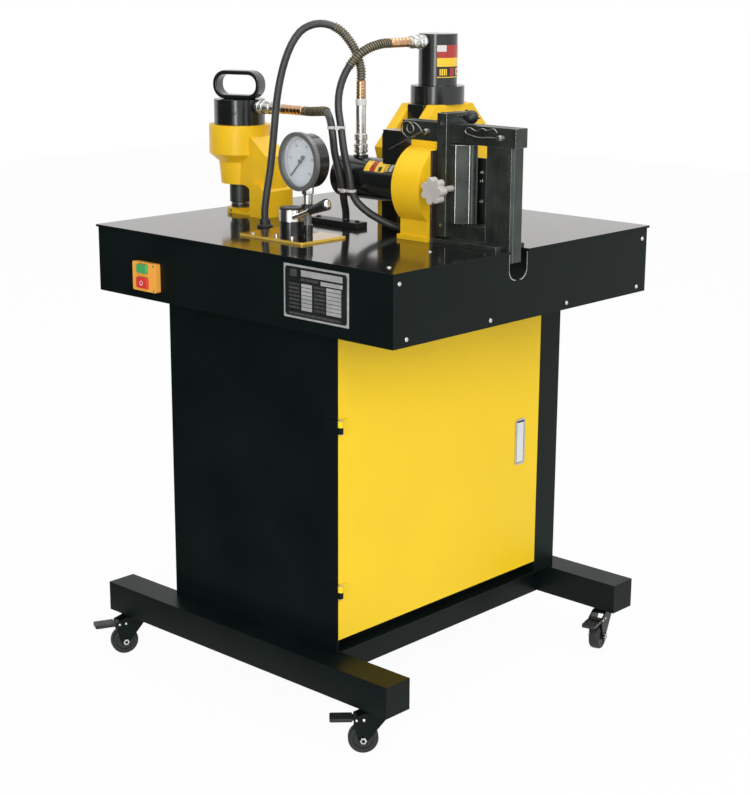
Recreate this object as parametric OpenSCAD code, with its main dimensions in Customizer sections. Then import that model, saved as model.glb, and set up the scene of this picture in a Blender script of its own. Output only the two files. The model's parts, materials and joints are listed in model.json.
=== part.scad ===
// Three-station hydraulic busbar machine on a wheeled cabinet: a punch, a bender and a cutter
// stand on one table, fed by hoses from a valve and a power unit in the cabinet.
// Millimetres, +Z up. The origin is on the floor under the middle of the table.
// The switch panel is on the -Y side and the cabinet door on the +X side.

/* [Table] */
// Length of the table top along X
table_l = 706; // [660:2:760]
// Width of the table top along Y
table_w = 674; // [650:2:720]
// Height of the work surface above the floor
table_h = 797; // [780:1:830]
// Thickness of the table top plate
top_t = 4; // [3:0.5:8]
// Overhang of the top plate past the skirt
top_lip = 3; // [1:0.5:6]
// Depth of the skirt below the top plate
skirt_h = 113; // [100:1:118]
// Thickness of the skirt sheet
skirt_t = 2; // [1.5:0.5:3]
// Width of the lip folded inwards along the bottom of the skirt
skirt_lip = 15; // [8:1:25]
// Depth of the notch in the skirt for the bending die
notch_h = 45; // [30:1:60]

/* [Cart] */
// Height of the casters, from the floor to the feet
caster_h = 78; // [76:1:90]
// Height of the foot tubes
foot_h = 54; // [40:1:60]
// Width of the foot tubes
foot_w = 56; // [50:1:64]
// Length of the foot tubes
foot_l = 694; // [640:2:740]
// Distance over the outer sides of the two feet
foot_span = 680; // [660:2:700]
// Wall of the foot tubes and rails
foot_wall = 3; // [2:0.5:5]
// Width of the rails between the feet
rail_w = 30; // [24:1:40]
// Distance from a cabinet wall to the rail below it
rail_inset = 27; // [20:1:30]
// Diameter of the drain holes under the feet
drain_d = 8; // [5:0.5:12]

/* [Cabinet] */
// Length of the cabinet along X
cab_l = 406; // [380:2:440]
// Distance of the cabinet's middle from the table's middle, towards -X
cab_shift = 7; // [0:1:20]
// Width of the cabinet along Y
cab_w = 590; // [560:2:610]
// Thickness of the cabinet sheet
sheet = 2; // [1.5:0.5:3]
// Size of the corner post along X
post_l = 56; // [40:1:60]
// Size of the corner post along Y
post_w = 55; // [40:1:60]
// Wall of the corner post and of the door frame channels
post_wall = 2.5; // [2:0.5:4]
// Width of the header channel over the door
header_w = 40; // [30:1:50]
// Width of the stile beside the hinges
stile_w = 24; // [16:1:30]
// Depth of the stile beside the hinges
stile_l = 22; // [16:1:26]

/* [Door] */
// Height of the door
door_h = 512; // [480:1:520]
// Depth of the folded door pan
door_depth = 18; // [14:1:24]
// Thickness of the door sheet
door_t = 2; // [1.5:0.5:3]
// Height of the sill channel below the door
sill_h = 21; // [14:1:30]
// Gap below the door
door_gap = 1; // [0.5:0.5:3]
// Gap above the door
head_gap = 4; // [2:0.5:6]
// Gap between the door's free edge and the corner post
edge_gap = 1.5; // [1:0.5:4]
// Radius of the hinge knuckles
knuckle_r = 4.5; // [4:0.5:6]
// Radius of the hinge pins
hinge_pin_r = 2; // [1.5:0.25:2.5]
// Height of one hinge
hinge_h = 22; // [18:1:40]
// Thickness of the hinge leaves
hinge_t = 2; // [1.5:0.5:3]
// Width of the hinge leaves
hinge_leaf = 20; // [14:1:30]
// Height of the upper hinge above the door's bottom edge
hinge_up = 356; // [300:1:420]
// Height of the lower hinge above the door's bottom edge
hinge_low = 75; // [40:1:120]
// Length of the latch tray
tray_h = 86; // [80:1:110]
// Width of the latch tray
tray_w = 28; // [24:1:36]
// Depth of the latch tray behind the door face
tray_depth = 12; // [11:0.5:13]
// Thickness of the tray's flange and walls
tray_t = 1.5; // [1:0.5:2]
// Height of the tray's middle above the door's bottom edge
tray_up = 245; // [200:1:300]
// Distance of the tray's middle from the door's free edge
tray_in = 54; // [40:1:80]

/* [Switch panel] */
// Width of the switch box
box_w = 62; // [56:1:80]
// Height of the switch box
box_h = 50; // [46:1:64]
// Depth of the switch box
box_d = 10; // [9:0.5:16]
// Distance of the switch box's middle from the table's left edge
box_in = 137; // [100:1:160]
// Distance of the switch box's middle below the work surface
box_drop = 76; // [60:1:80]
// Width of the start button
start_w = 26; // [20:1:30]
// Height of the start button
start_h = 15.6; // [12:0.2:18]
// Width of the stop button
stop_w = 28; // [20:1:32]
// Height of the stop button
stop_h = 19; // [14:0.5:20]
// Height of the buttons above the box face
button_up = 4; // [3.5:0.5:8]
// Width of the nameplate
plate_w = 142; // [120:1:170]
// Height of the nameplate
plate_h = 86; // [70:1:90]
// Distance of the nameplate's middle from the table's right edge
plate_in = 165; // [120:1:200]

/* [Valve and gauge] */
// Length of the valve plate
valve_plate_l = 150; // [140:1:180]
// Width of the valve plate
valve_plate_w = 106; // [90:1:120]
// Thickness of the valve plate
valve_plate_t = 4; // [3:0.5:8]
// Radius of the valve body
valve_r = 20.5; // [18:0.5:24]
// Height of the valve body above its plate
valve_h = 27; // [22:1:34]
// Height of the turning cap
cap_h = 19; // [16:1:24]
// Radius of the lever rod
lever_r = 4; // [3:0.5:5]
// Length of the lever rod
lever_l = 90; // [80:1:110]
// Slope of the lever above the horizontal
lever_slope = 21; // [15:1:30]
// Length of the lever grip
grip_l = 40; // [30:1:45]
// Radius of the grip at its end
grip_r = 10; // [8:0.5:12]
// Radius of the gauge bezel
gauge_r = 48; // [40:1:52]
// Depth of the gauge
gauge_depth = 32; // [28:1:36]
// Height of the gauge's middle above the work surface
gauge_up = 132.5; // [125:0.5:150]
// Radius of the gauge stem
stem_r = 6; // [5:0.5:8]

/* [Punch] */
// Radius of the punch barrel
barrel_r = 56; // [54:1:60]
// Height of the underside of the barrel above the work surface
barrel_low = 109; // [105:1:120]
// Height of the top of the barrel above the work surface
barrel_top = 161; // [155:1:170]
// Thickness of the C-shaped jaw
jaw_w = 50; // [44:1:60]
// Thickness of the lower jaw
jaw_t = 9; // [8:0.5:12]
// Depth of the throat behind the punch axis
throat = 58; // [54:1:62]
// Height of the throat above the work surface
throat_h = 54; // [50:1:60]
// Distance from the punch axis to the back of the spine
spine_x = 96; // [92:1:110]
// Radius of the punch ram
ram_r = 20; // [16:0.5:22]
// Radius of the punch piston
piston_r = 38; // [34:1:40]
// Radius of the punch die
die_r = 17.5; // [15:0.5:20]
// Height of the punch die
die_h = 8; // [6:0.5:12]
// Radius of the punch tip
tip_r = 8; // [5:0.5:9]
// Radius of the black cylinder above the barrel
punch_cyl_r = 46.5; // [44:0.5:52]
// Height of the black cylinder above the barrel
punch_cyl_h = 45; // [40:1:56]
// Height of the ring handle
ring_h = 51; // [44:1:60]
// Width of the ring handle
ring_w = 94; // [80:1:100]
// Depth of the ring handle's bar
ring_d = 28; // [20:1:34]
// Thickness of the ring handle's bar
ring_t = 7.5; // [6:0.5:10]
// Turn of the ring handle about the cylinder's axis
ring_turn = 20; // [0:1:45]

/* [Bender] */
// Height of the bender's axis above the work surface
bend_up = 87; // [84:1:90]
// Radius of the bender's boss
boss_r = 70; // [62:1:72]
// Length of the bender's body
body_l = 60; // [50:1:70]
// Width of the pedestal below the boss
pedestal_w = 92; // [80:1:100]
// Radius of the bender's cylinder
bend_cyl_r = 36; // [34:1:40]
// Length of the bender's cylinder
bend_cyl_l = 174; // [150:1:180]
// Wall of the bender's cylinder
bend_cyl_wall = 8; // [6:0.5:10]
// Radius of the bender's piston rod
bend_rod_r = 16; // [12:0.5:20]
// Thickness of the sliding plate
slide_t = 20; // [16:1:24]
// Width of the sliding plate
slide_w = 58; // [50:1:70]
// Width of the bars above and below the tools
bar_w = 30; // [24:1:34]
// Height of the upper bar
bar_h = 31; // [26:1:36]
// Length of the upper bar
bar_l = 240; // [236:1:250]
// Height of the lower bar
low_bar_h = 25; // [20:1:28]
// Height of the gap between the bars
tool_h = 132; // [126:1:138]
// Thickness of the bender's base plate
base_t = 6; // [4:0.5:8]
// Width of the bender's base plate
base_w = 74; // [60:1:90]
// Distance from the sliding plate's face to the nose of the mandrel
mandrel_l = 41; // [34:1:46]
// Width of the mandrel where it meets the sliding plate
mandrel_w = 46; // [40:1:54]
// Gap between the mandrel's nose and the die
bend_gap = 33; // [31:1:40]
// Length of the bending die
bend_die_l = 54; // [48:1:56]
// Depth of the bending die below the work surface
bend_die_down = 21; // [10:1:30]
// Radius of the locking pins
pin_r = 5; // [4:0.5:6]
// Radius of the star knob
knob_r = 22.5; // [18:0.5:26]
// Thickness of the star knob
knob_t = 15; // [10:1:20]
// Number of lobes on the star knob
knob_lobes = 7; // [5:1:9]
// Radius of the stop rod
stop_rod_r = 1.5; // [1.5:0.25:2.5]

/* [Cutter] */
// Thickness of each cutter plate
cut_plate_t = 22; // [18:1:26]
// Gap between the cutter plates
cut_gap = 37; // [34:1:42]
// Half width of the plates at the table
cut_foot = 112; // [105:1:118]
// Half width of the plates at their shoulders
cut_wide = 121; // [118:1:125]
// Half width of the plates at the top
cut_top = 50; // [46:1:56]
// Height of the plates
cut_h = 206; // [200:1:214]
// Half width of the window for the bar
window_w = 60; // [50:1:64]
// Height of the bottom of the window
window_low = 24; // [20:1:30]
// Height of the top of the window
window_top = 84; // [76:1:88]
// Radius of the collar
collar_r = 48; // [44:1:50]
// Height of the collar
collar_h = 31; // [26:1:36]
// Radius of the cutter's cylinder
cut_cyl_r = 34.5; // [33:0.5:38]
// Height of the cutter's cylinder above its collar
cut_cyl_h = 90; // [84:1:100]
// Radius of the cutter's piston rod
cut_rod_r = 14; // [10:0.5:16]
// Radius of the cutter's piston
cut_piston_r = 26; // [22:0.5:28]

/* [Hoses] */
// Outer diameter of the hoses
hose_d = 13; // [10:0.5:14]
// Radius of the hose couplings
coupling_r = 12; // [10:0.5:14]
// Radius of the brass ferrules
ferrule_r = 8.5; // [7.5:0.5:9.5]

/* [Casters] */
// Radius of the caster wheels
wheel_r = 25; // [22:0.5:25]
// Width of the caster wheels
wheel_w = 20; // [16:0.5:22]
// Distance from the swivel axis back to the wheel axle
trail = 25; // [20:1:28]
// Distance of the swivel axes from the ends of the feet
caster_in = 42; // [36:1:60]
// Distance from the swivel axis to the tip of the brake pedal
pedal_reach = 80; // [70:1:88]

/* [Power unit] */
// Length of the oil tank
tank_l = 280; // [200:5:290]
// Width of the oil tank
tank_w = 400; // [300:5:420]
// Height of the oil tank
tank_h = 190; // [150:5:220]
// Wall of the oil tank
tank_wall = 3; // [2:0.5:5]
// Radius of the motor
motor_r = 70; // [55:1:80]
// Height of the motor
motor_h = 230; // [180:5:260]

/* [Clearances] */
// Radial clearance of a running fit
run_fit = 0.05; // [0.02:0.01:0.1]
// Gap between faces that slide past each other
slide_gap = 0.5; // [0.3:0.1:0.8]
// Gap between turning faces
face_gap = 0.3; // [0.2:0.1:0.5]
// Radial clearance of a screw hole
hole_fit = 0.2; // [0.1:0.05:0.4]

/* [Hidden] */
$fn = 64;

// Paint and metal colours
black = [0.05, 0.06, 0.06];
dark_steel = [0.16, 0.18, 0.17];
yellow = [0.96, 0.74, 0.12];
orange = [0.95, 0.55, 0.1];
silver = [0.75, 0.76, 0.76];
brass = [0.72, 0.5, 0.3];
rubber = [0.08, 0.08, 0.08];

// Table and skirt
top_z = table_h - top_t;
skirt_x = table_l / 2 - top_lip;
skirt_y = table_w / 2 - top_lip;
skirt_z = top_z - skirt_h;

// Cabinet
base_z = caster_h + foot_h;
cab_x0 = -cab_shift - cab_l / 2;
cab_x1 = -cab_shift + cab_l / 2;
cab_y = cab_w / 2;
floor_z = base_z + sheet;

// Door
door_z = floor_z + sill_h + door_gap;
door_x = cab_x1 - door_depth;
door_y0 = -cab_y + sheet + face_gap;
post_y = cab_y - sheet - post_w;
door_y1 = post_y - edge_gap;
header_z = door_z + door_h + head_gap;
sill_x = cab_x1 - rail_inset - rail_w;
hinge_x = cab_x1 + knuckle_r + slide_gap;
hinge_y = -cab_y - hinge_t + knuckle_r;
hinges = [door_z + hinge_low, door_z + hinge_up];
pin_head = 1.5;
tray_y = door_y1 - tray_in;
tray_z = door_z + tray_up;
tray_lip = 2;
paddle_t = 4.5;
paddle_pin_r = 1.5;
paddle_hub_r = 3.5;
paddle_x = cab_x1 - 2;
paddle_z = tray_z + tray_h / 2 - 10;
paddle_side = 1;

// Switch panel
box_x = -table_l / 2 + box_in;
box_z = table_h - box_drop;
start_z = box_z + 14;
stop_z = box_z - 10.5;
button_x = box_x - 4;
button_l = button_up + 5;
pocket_d = box_d - 1.5;
box_tab = 4;
plate_x = table_l / 2 - plate_in;
plate_z = top_z - 7 - plate_h / 2;
plate_t = 1.2;

// Valve and gauge, placed from the plate's middle
valve_x = -7;
valve_y = -193;
valve_at = [valve_x + 16, valve_y - 17];
stem_at = [valve_x + 51, valve_y - 14];
valve_base = table_h + valve_plate_t;
cap_z = valve_base + valve_h + face_gap;
spindle_r = 6;
lever_off = 11;
lever_z = valve_base + 31;
lever_root = 7;
port_r = 8;
port_h = 23;
gauge_yaw = -4;
gauge_front = 23;
gauge_back = gauge_front - gauge_depth;
gauge_z = table_h + gauge_up;
bezel_h = 8;
case_r = gauge_r - 4;
dial_in = 10;
glass_t = 2;
glass_in = 2;
glass_lip = 2;
spindle_in = 4;
needle_pin_r = 1.2;
needle_hub_r = 3;
needle_tip = 36;
needle_tail = 12;
needle_w = 2.4;
needle_t = 1.2;

// Punch
punch_x = -286;
punch_y = -52;
neck_h = 15;
neck_r = 38.7;
neck_low_r = 35;
throat_r = 25;
heel_w = 72;
heel_x = throat + 4;
heel_end = spine_x + 4;
heel_h = 59;
heel_slope = 12;
chamber_floor = 116;
piston_h = 14;
piston_z = chamber_floor + face_gap;
cyl_bore_h = 35;
ram_low = jaw_t + die_h + 2;
tip_low = ram_low - 7;
slug_r = tip_r + 1.5;
die_bore = tip_r + slide_gap;
ring_r = 24;
port_up = 194;
port_boss_r = 10;

// Bender, along X
bend_y = -33;
body_x = 134;
axis_z = table_h + bend_up;
cyl_x = body_x - bend_cyl_l;
body_end = body_x + body_l;
flange_t = 3;
flange_w = 80;
flange_top = 150;
slide_x = body_end + flange_t + 1;
slide_face = slide_x + slide_t;
nose_x = slide_face + mandrel_l;
die_x = nose_x + bend_gap;
die_end = die_x + bend_die_l;
low_bar_top = base_t + low_bar_h;
tool_top = low_bar_top + tool_h;
bar_x = die_end + 4 - bar_l;
slide_low = base_t + 3;
slide_top = tool_top + bar_h + 17;
saddle_w = 40;
lip_l = 4;
lip_h = 8;
lip_out = 4;
tenon_w = 14;
tenon_l = 28;
tenon_h = 22;
body_pin_x = body_x + 32;
die_pin_x = die_x + 30;
pin_z = tool_top + 15;
pin_reach = 10;
pin_head_r = 8;
pin_head_t = 4;
clip_r = 1.2;
clip_hole_in = 4;
clip_loop_r = 9;
clip_leg = 26;
piston_x = cyl_x + 30;
bend_piston_l = 16;
cyl_cap = 12;
bend_port_x = 0;
bend_lug_x = 70;
bend_lug_l = 40;
bend_lug_top = 175;
base_end = die_end - 14;
slot_w = 47;
slot_in = 9;
mandrel_base = 15;
nose_w = 16;
mandrel_low = low_bar_top + 1;
mandrel_top = tool_top - 2;
knob_z = axis_z + 3;
knob_x = slide_face + mandrel_base / 2;
knob_out = 67;
knob_stem_r = 5;
knob_stem_in = 12;
lobe_r = 6;
rest_x = slide_face + 14;
rest_l = 28;
rest_h = 23;
rest_w = 22;
stop_rod_z = table_h + tool_top + bar_h + 11;
stop_rod_l = 46;

// Cutter
cut_x = 24;
cut_y = 140;
shoulder_z = 134;
waist_z = 106;
guide_out = 4;
guide_top = 160;
centre_w = 59;
head_z = 150;
blade_w = window_w - slide_gap;
blade_t = cut_gap - 2 * slide_gap;
blade_top = 130;
cut_gland = 12;
cut_piston_h = 14;
cut_piston_z = 286;
cut_cap = 9;
cut_port_up = 314;

// Hoses: points on each route, from the machine's coupling or the gland to the other end
bender_route = [
    [-117, -152, 812], [-117, -152, 828], [-114, -149, 861], [-110, -145, 895], [-107, -142, 931],
    [-104, -139, 974], [-101, -136, 1016], [-97, -131, 1052], [-91, -125, 1083], [-83, -117, 1110],
    [-73, -107, 1130], [-62, -96, 1140], [-49, -83, 1144], [-36, -70, 1141], [-25, -59, 1133],
    [-16, -49, 1119], [-8, -41, 1102], [-3, -36, 1084], [0, -33, 1066], [0, -33, 1050]
];
cutter_route = [
    [24, 12, 1111], [24, 0, 1111], [22, -15, 1109], [17, -31, 1104], [11, -46, 1095],
    [3, -57, 1082], [-5, -65, 1065], [-11, -71, 1044], [-13, -75, 1022], [-11, -77, 1000],
    [-6, -78, 980], [-1, -79, 958], [4, -80, 935], [11, -80, 910], [18, -80, 888],
    [21, -78, 866], [29, -72, 846], [50, -61, 827], [77, -48, 813], [94, -34, 805],
    [107, -17, 804], [115, 0, 804], [122, 17, 804], [130, 35, 804], [130, 48, 804]
];
punch_route = [
    [-120, -52, 991], [-104, -52, 991], [-80, -56, 993], [-56, -64, 995], [-37, -76, 992],
    [-22, -86, 983], [-13, -91, 968], [-10, -91, 950], [-9, -89, 930], [-6, -85, 908],
    [-2, -81, 884], [-2, -76, 862], [-11, -63, 842], [-20, -50, 826], [-25, -44, 814],
    [-25, -44, 807]
];
hose_sides = 10;
gland_at = [-117, -152];
gland_top = 812;
strip_at = [-45, -44];
strip_l = 116;
strip_w = 28;
strip_h = 10;
elbow_at = [130, 60];
elbow_w = 24;
elbow_h = 20;
gland_stem_r = 6;
gland_nut_r = 12;
gland_nut_h = 8;
bender_ferrule = 31;
punch_ferrule = 50;
cutter_ferrule = 48;

// Casters
race_r = 18;
race_t = 5.7;
crown_t = 5;
kingpin_r = 5;
kingpin_head_r = 9;
kingpin_head_t = 3.7;
crown_z = caster_h - race_t - face_gap - crown_t;
fork_in = wheel_w / 2 + 1;
fork_t = 2.5;
axle_r = 4;
axle_head_r = 6;
axle_head_t = 3;
hub_side = face_gap;
rivet_r = 2;
pedal_pivot = [trail + 11, wheel_r + 35];
pedal_hub_r = 4;
pedal_t = 3;
pedal_w = 26;
pedal_side = 0.6;
caster_x = foot_l / 2 - caster_in;
caster_y = (foot_span - foot_w) / 2;
caster_at = [[-caster_x, -caster_y, 245], [caster_x, -caster_y, 225],
             [caster_x, caster_y, 285], [-caster_x, caster_y, 115]];

// Power unit
tank_x = cab_x0 + sheet + 10;
tank_y = -tank_w / 2;
filler_r = 18;
motor_at = [tank_x + tank_l / 2, -40];
motor_cap_r = motor_r + 4;
motor_cap_h = 30;
motor_foot_r = motor_r + 12;
motor_foot_t = 12;
terminal_w = 60;
terminal_h = 50;
terminal_d = 40;

// Screws: [y, z] on the right skirt, [x, y] on the table top
skirt_screws = [
    [-skirt_y + 13, top_z - 13], [-skirt_y + 30, skirt_z + 12], [-102, skirt_z + 11],
    [101, skirt_z + 11], [skirt_y - 27, skirt_z + 11], [skirt_y - 15, top_z - 18]
];
plate_screws = [[valve_x - 52, valve_y - 42], [valve_x + 8, valve_y + 46],
                [valve_x - 60, valve_y + 40]];
table_screws = [[table_l / 2 - 42, -table_w / 2 + 36], [table_l / 2 - 93, -148]];
screw_r = 2;
screw_l = 8;
screw_head_r = 3.6;
screw_head_h = 2;

// A block between two corners
module block(low, high) {
    translate(low) cube(high - low);
}

// A tube with a square section along X
module square_tube_x(low, high, wall) {
    difference() {
        block(low, high);
        block(low + [wall, wall, wall], high - [wall, wall, wall]);
    }
}

// A cylinder lying along X from a starting point
module rod_x(at, r, l) {
    translate(at) rotate([0, 90, 0]) cylinder(r = r, h = l);
}

// A cylinder lying along +Y from a starting point
module rod_y(at, r, l) {
    translate(at) rotate([-90, 0, 0]) cylinder(r = r, h = l);
}

// A cylinder standing on a point
module rod_z(at, r, l) {
    translate(at) cylinder(r = r, h = l);
}

// A flat rectangle with round corners, centred
module round_rect(w, h, r) {
    square([w - 2 * r, h], center = true);
    square([w, h - 2 * r], center = true);
    for (x = [-1, 1], y = [-1, 1]) {
        translate([x * (w / 2 - r), y * (h / 2 - r)]) circle(r = r);
    }
}

// A round tube swept through the points of a route
function unit(v) = v / norm(v);
function heading(p, i) = unit(p[min(i + 1, len(p) - 1)] - p[max(i - 1, 0)]);
function side_way(h) = abs(h.z) > 0.9 ? unit(cross(h, [0, 1, 0])) : unit(cross(h, [0, 0, 1]));
function square_to(v, h) = unit(v - h * (v * h));
function carried(p, i) =
    i == 0 ? side_way(heading(p, 0)) : square_to(carried(p, i - 1), heading(p, i));
function ring_points(c, a, b, r, sides) =
    [for (k = [0 : sides - 1]) c + r * (cos(360 * k / sides) * a + sin(360 * k / sides) * b)];
module hose(route, r, sides) {
    n = len(route);
    points = [for (i = [0 : n - 1])
        each ring_points(route[i], carried(route, i), cross(heading(route, i), carried(route, i)),
                         r, sides)];
    walls = [for (i = [0 : n - 2], k = [0 : sides - 1])
        [(i + 1) * sides + k, (i + 1) * sides + (k + 1) % sides, i * sides + (k + 1) % sides,
         i * sides + k]];
    first = [for (k = [0 : sides - 1]) k];
    last = [for (k = [sides - 1 : -1 : 0]) (n - 1) * sides + k];
    polyhedron(points = points, faces = concat(walls, [first], [last]));
}

// Cart: two foot tubes, two rails and the swivel pins of the casters
module foot(y) {
    difference() {
        square_tube_x([-foot_l / 2, y - foot_w / 2, caster_h],
                      [foot_l / 2, y + foot_w / 2, base_z], foot_wall);
        for (x = [-1, 1]) {
            rod_z([x * foot_l / 6, y, caster_h - 1], drain_d / 2, foot_wall + 2);
        }
    }
}
module rail(x) {
    y = foot_span / 2 - foot_w;
    difference() {
        block([x, -y, caster_h], [x + rail_w, y, base_z]);
        block([x + foot_wall, -y, caster_h + foot_wall],
              [x + rail_w - foot_wall, y, base_z - foot_wall]);
    }
}
module base_frame() {
    color(black) {
        foot(-caster_y);
        foot(caster_y);
        rail(cab_x0 + rail_inset);
        rail(sill_x);
        for (c = caster_at) {
            rod_z([c.x, c.y, caster_h - race_t], race_r, race_t);
            rod_z([c.x, c.y, crown_z - face_gap], kingpin_r, crown_t + race_t + 2 * face_gap);
            rod_z([c.x, c.y, crown_z - face_gap - kingpin_head_t], kingpin_head_r, kingpin_head_t);
        }
    }
}

// One caster, drawn with its swivel axis on Z and its wheel towards +X
module at_caster(i) {
    c = caster_at[i - 1];
    translate([c.x, c.y, 0]) rotate(c.z) children();
}
module fork_side(y) {
    translate([0, y + fork_t, 0]) rotate([90, 0, 0]) linear_extrude(fork_t) {
        polygon([[-16, crown_z + crown_t], [-16, crown_z], [trail - axle_head_r - 2, wheel_r],
                 [trail + axle_head_r + 2, wheel_r], [pedal_pivot.x + 5, pedal_pivot.y - 6],
                 [pedal_pivot.x + 5, pedal_pivot.y + 4], [trail - 3, crown_z + crown_t]]);
        translate([trail, wheel_r]) circle(r = axle_head_r + 2);
    }
}
module caster_fork(i) {
    w = fork_in + fork_t;
    color(black) at_caster(i) {
        difference() {
            union() {
                block([-16, -w, crown_z], [trail - 3, w, crown_z + crown_t]);
                rod_z([0, 0, crown_z], 16, crown_t);
            }
            rod_z([0, 0, crown_z - 1], kingpin_r + run_fit, crown_t + 2);
        }
        fork_side(-w);
        fork_side(fork_in);
        rod_y([trail, -w - axle_head_t, wheel_r], axle_r, 2 * (w + axle_head_t));
        rod_y([trail, -w - axle_head_t, wheel_r], axle_head_r, axle_head_t);
        rod_y([trail, w, wheel_r], axle_head_r, axle_head_t);
        rod_y([pedal_pivot.x, -w - 1, pedal_pivot.y], rivet_r, 2 * (w + 1));
    }
}
module caster_wheel(i) {
    hub = fork_in - hub_side;
    color(rubber) at_caster(i) translate([trail, 0, wheel_r]) rotate([-90, 0, 0]) rotate_extrude() {
        polygon([[axle_r + run_fit, -hub], [8, -hub], [8, -wheel_w / 2 + 3],
                 [wheel_r - 6, -wheel_w / 2 + 3], [wheel_r - 5, -wheel_w / 2],
                 [wheel_r - 2, -wheel_w / 2], [wheel_r, -wheel_w / 2 + 2],
                 [wheel_r, wheel_w / 2 - 2], [wheel_r - 2, wheel_w / 2], [wheel_r - 5, wheel_w / 2],
                 [wheel_r - 6, wheel_w / 2 - 3], [8, wheel_w / 2 - 3], [8, hub],
                 [axle_r + run_fit, hub]]);
    }
}
module caster_pedal(i) {
    in = fork_in - pedal_side;
    out = pedal_pivot.x + 7;
    color(black) at_caster(i) difference() {
        union() {
            rod_y([pedal_pivot.x, -in, pedal_pivot.y], pedal_hub_r, 2 * in);
            block([pedal_pivot.x, -in, pedal_pivot.y - pedal_t / 2],
                  [out, in, pedal_pivot.y + pedal_t / 2]);
            block([out, -pedal_w / 2, pedal_pivot.y - 3],
                  [pedal_reach - 4, pedal_w / 2, pedal_pivot.y + 3]);
            translate([pedal_reach - 4, -pedal_w / 2 + 4, pedal_pivot.y - 3]) {
                cube([4, pedal_w - 8, 6]);
                for (y = [0, pedal_w - 8]) {
                    translate([0, y, 0]) cylinder(r = 4, h = 6);
                }
            }
        }
        rod_y([pedal_pivot.x, -in - 1, pedal_pivot.y], rivet_r + run_fit, 2 * in + 2);
    }
}

// Cabinet
module cabinet_shell() {
    color(black) {
        block([cab_x0, -cab_y, base_z], [cab_x1, cab_y, floor_z]);
        block([cab_x0, -cab_y, base_z], [cab_x0 + sheet, cab_y, top_z]);
        block([cab_x0, cab_y - sheet, base_z], [cab_x1, cab_y, top_z]);
        block([cab_x0, -cab_y, base_z], [cab_x1, -cab_y + sheet, top_z]);
        for (z = hinges) {
            fixed_leaf(z);
        }
    }
}
module fixed_leaf(z) {
    half = hinge_h / 2 - face_gap / 2;
    difference() {
        union() {
            block([cab_x1 - hinge_leaf, -cab_y - hinge_t, z], [cab_x1 - 1, -cab_y, z + hinge_h]);
            block([cab_x1 - 2, -cab_y - hinge_t, z], [hinge_x, -cab_y, z + half]);
            rod_z([hinge_x, hinge_y, z], knuckle_r, half);
        }
        rod_z([hinge_x, hinge_y, z - 1], hinge_pin_r + run_fit, half + 2);
    }
}
module moving_leaf(z) {
    half = hinge_h / 2 - face_gap / 2;
    top = z + hinge_h;
    difference() {
        union() {
            block([cab_x1, hinge_y + knuckle_r, z], [cab_x1 + hinge_t, hinge_y + hinge_leaf, top]);
            block([cab_x1, hinge_y, top - half], [cab_x1 + hinge_t, hinge_y + hinge_leaf, top]);
            rod_z([hinge_x, hinge_y, top - half], knuckle_r, half);
        }
        rod_z([hinge_x, hinge_y, z - 1], hinge_pin_r + run_fit, hinge_h + 2);
    }
}
module hinge_pins() {
    color(silver) for (z = hinges) {
        rod_z([hinge_x, hinge_y, z - pin_head], hinge_pin_r, hinge_h + 2 * pin_head);
        rod_z([hinge_x, hinge_y, z - pin_head], knuckle_r - 1, pin_head);
        rod_z([hinge_x, hinge_y, z + hinge_h + face_gap], knuckle_r - 1, pin_head);
    }
}
// A channel along Y, open towards the inside of the cabinet
module channel_y(low, high) {
    difference() {
        block(low, high);
        block(low + [-1, post_wall, post_wall], high - [post_wall, post_wall, post_wall]);
    }
}
module door_frame() {
    x = cab_x1 - post_l;
    y = cab_y - sheet;
    y0 = -cab_y + sheet;
    color(black) {
        difference() {
            block([x, post_y, floor_z], [cab_x1, y, top_z]);
            block([x + post_wall, post_y + post_wall, floor_z - 1],
                  [cab_x1 - post_wall, y - post_wall, top_z + 1]);
        }
        channel_y([cab_x1 - header_w - 6, y0, header_z], [cab_x1 - 6, post_y, top_z]);
        channel_y([sill_x, y0, floor_z], [sill_x + rail_w, post_y, floor_z + sill_h]);
        difference() {
            block([door_x - 2 - stile_l, y0, floor_z], [door_x - 2, y0 + stile_w, header_z + 1]);
            block([door_x - 3 - stile_l, y0 + post_wall, floor_z - 1],
                  [door_x - 2 - post_wall, y0 + stile_w - post_wall, header_z + 2]);
        }
    }
}

// Door
module door() {
    cut_w = tray_w - 2 * tray_lip + 2 * face_gap;
    cut_h2 = tray_h - 2 * tray_lip + 2 * face_gap;
    color(yellow) {
        difference() {
            block([door_x, door_y0, door_z], [cab_x1, door_y1, door_z + door_h]);
            block([door_x - 1, door_y0 + door_t, door_z + door_t],
                  [cab_x1 - door_t, door_y1 - door_t, door_z + door_h - door_t]);
            block([door_x, tray_y - cut_w / 2, tray_z - cut_h2 / 2],
                  [cab_x1 + 1, tray_y + cut_w / 2, tray_z + cut_h2 / 2]);
        }
        for (z = hinges) {
            moving_leaf(z);
        }
    }
}
module latch_tray() {
    w = tray_w / 2 - tray_lip;
    h = tray_h / 2 - tray_lip;
    color(silver) {
        difference() {
            union() {
                translate([cab_x1, tray_y, tray_z]) rotate([90, 0, 90]) linear_extrude(tray_t) {
                    round_rect(tray_w, tray_h, 6);
                }
                block([cab_x1 - tray_depth, tray_y - w, tray_z - h], [cab_x1, tray_y + w, tray_z + h]);
            }
            block([cab_x1 - tray_depth + tray_t, tray_y - w + tray_t, tray_z - h + tray_t],
                  [cab_x1 + tray_t + 1, tray_y + w - tray_t, tray_z + h - tray_t]);
        }
        rod_y([paddle_x, tray_y - w, paddle_z], paddle_pin_r, 2 * w);
    }
}
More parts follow.
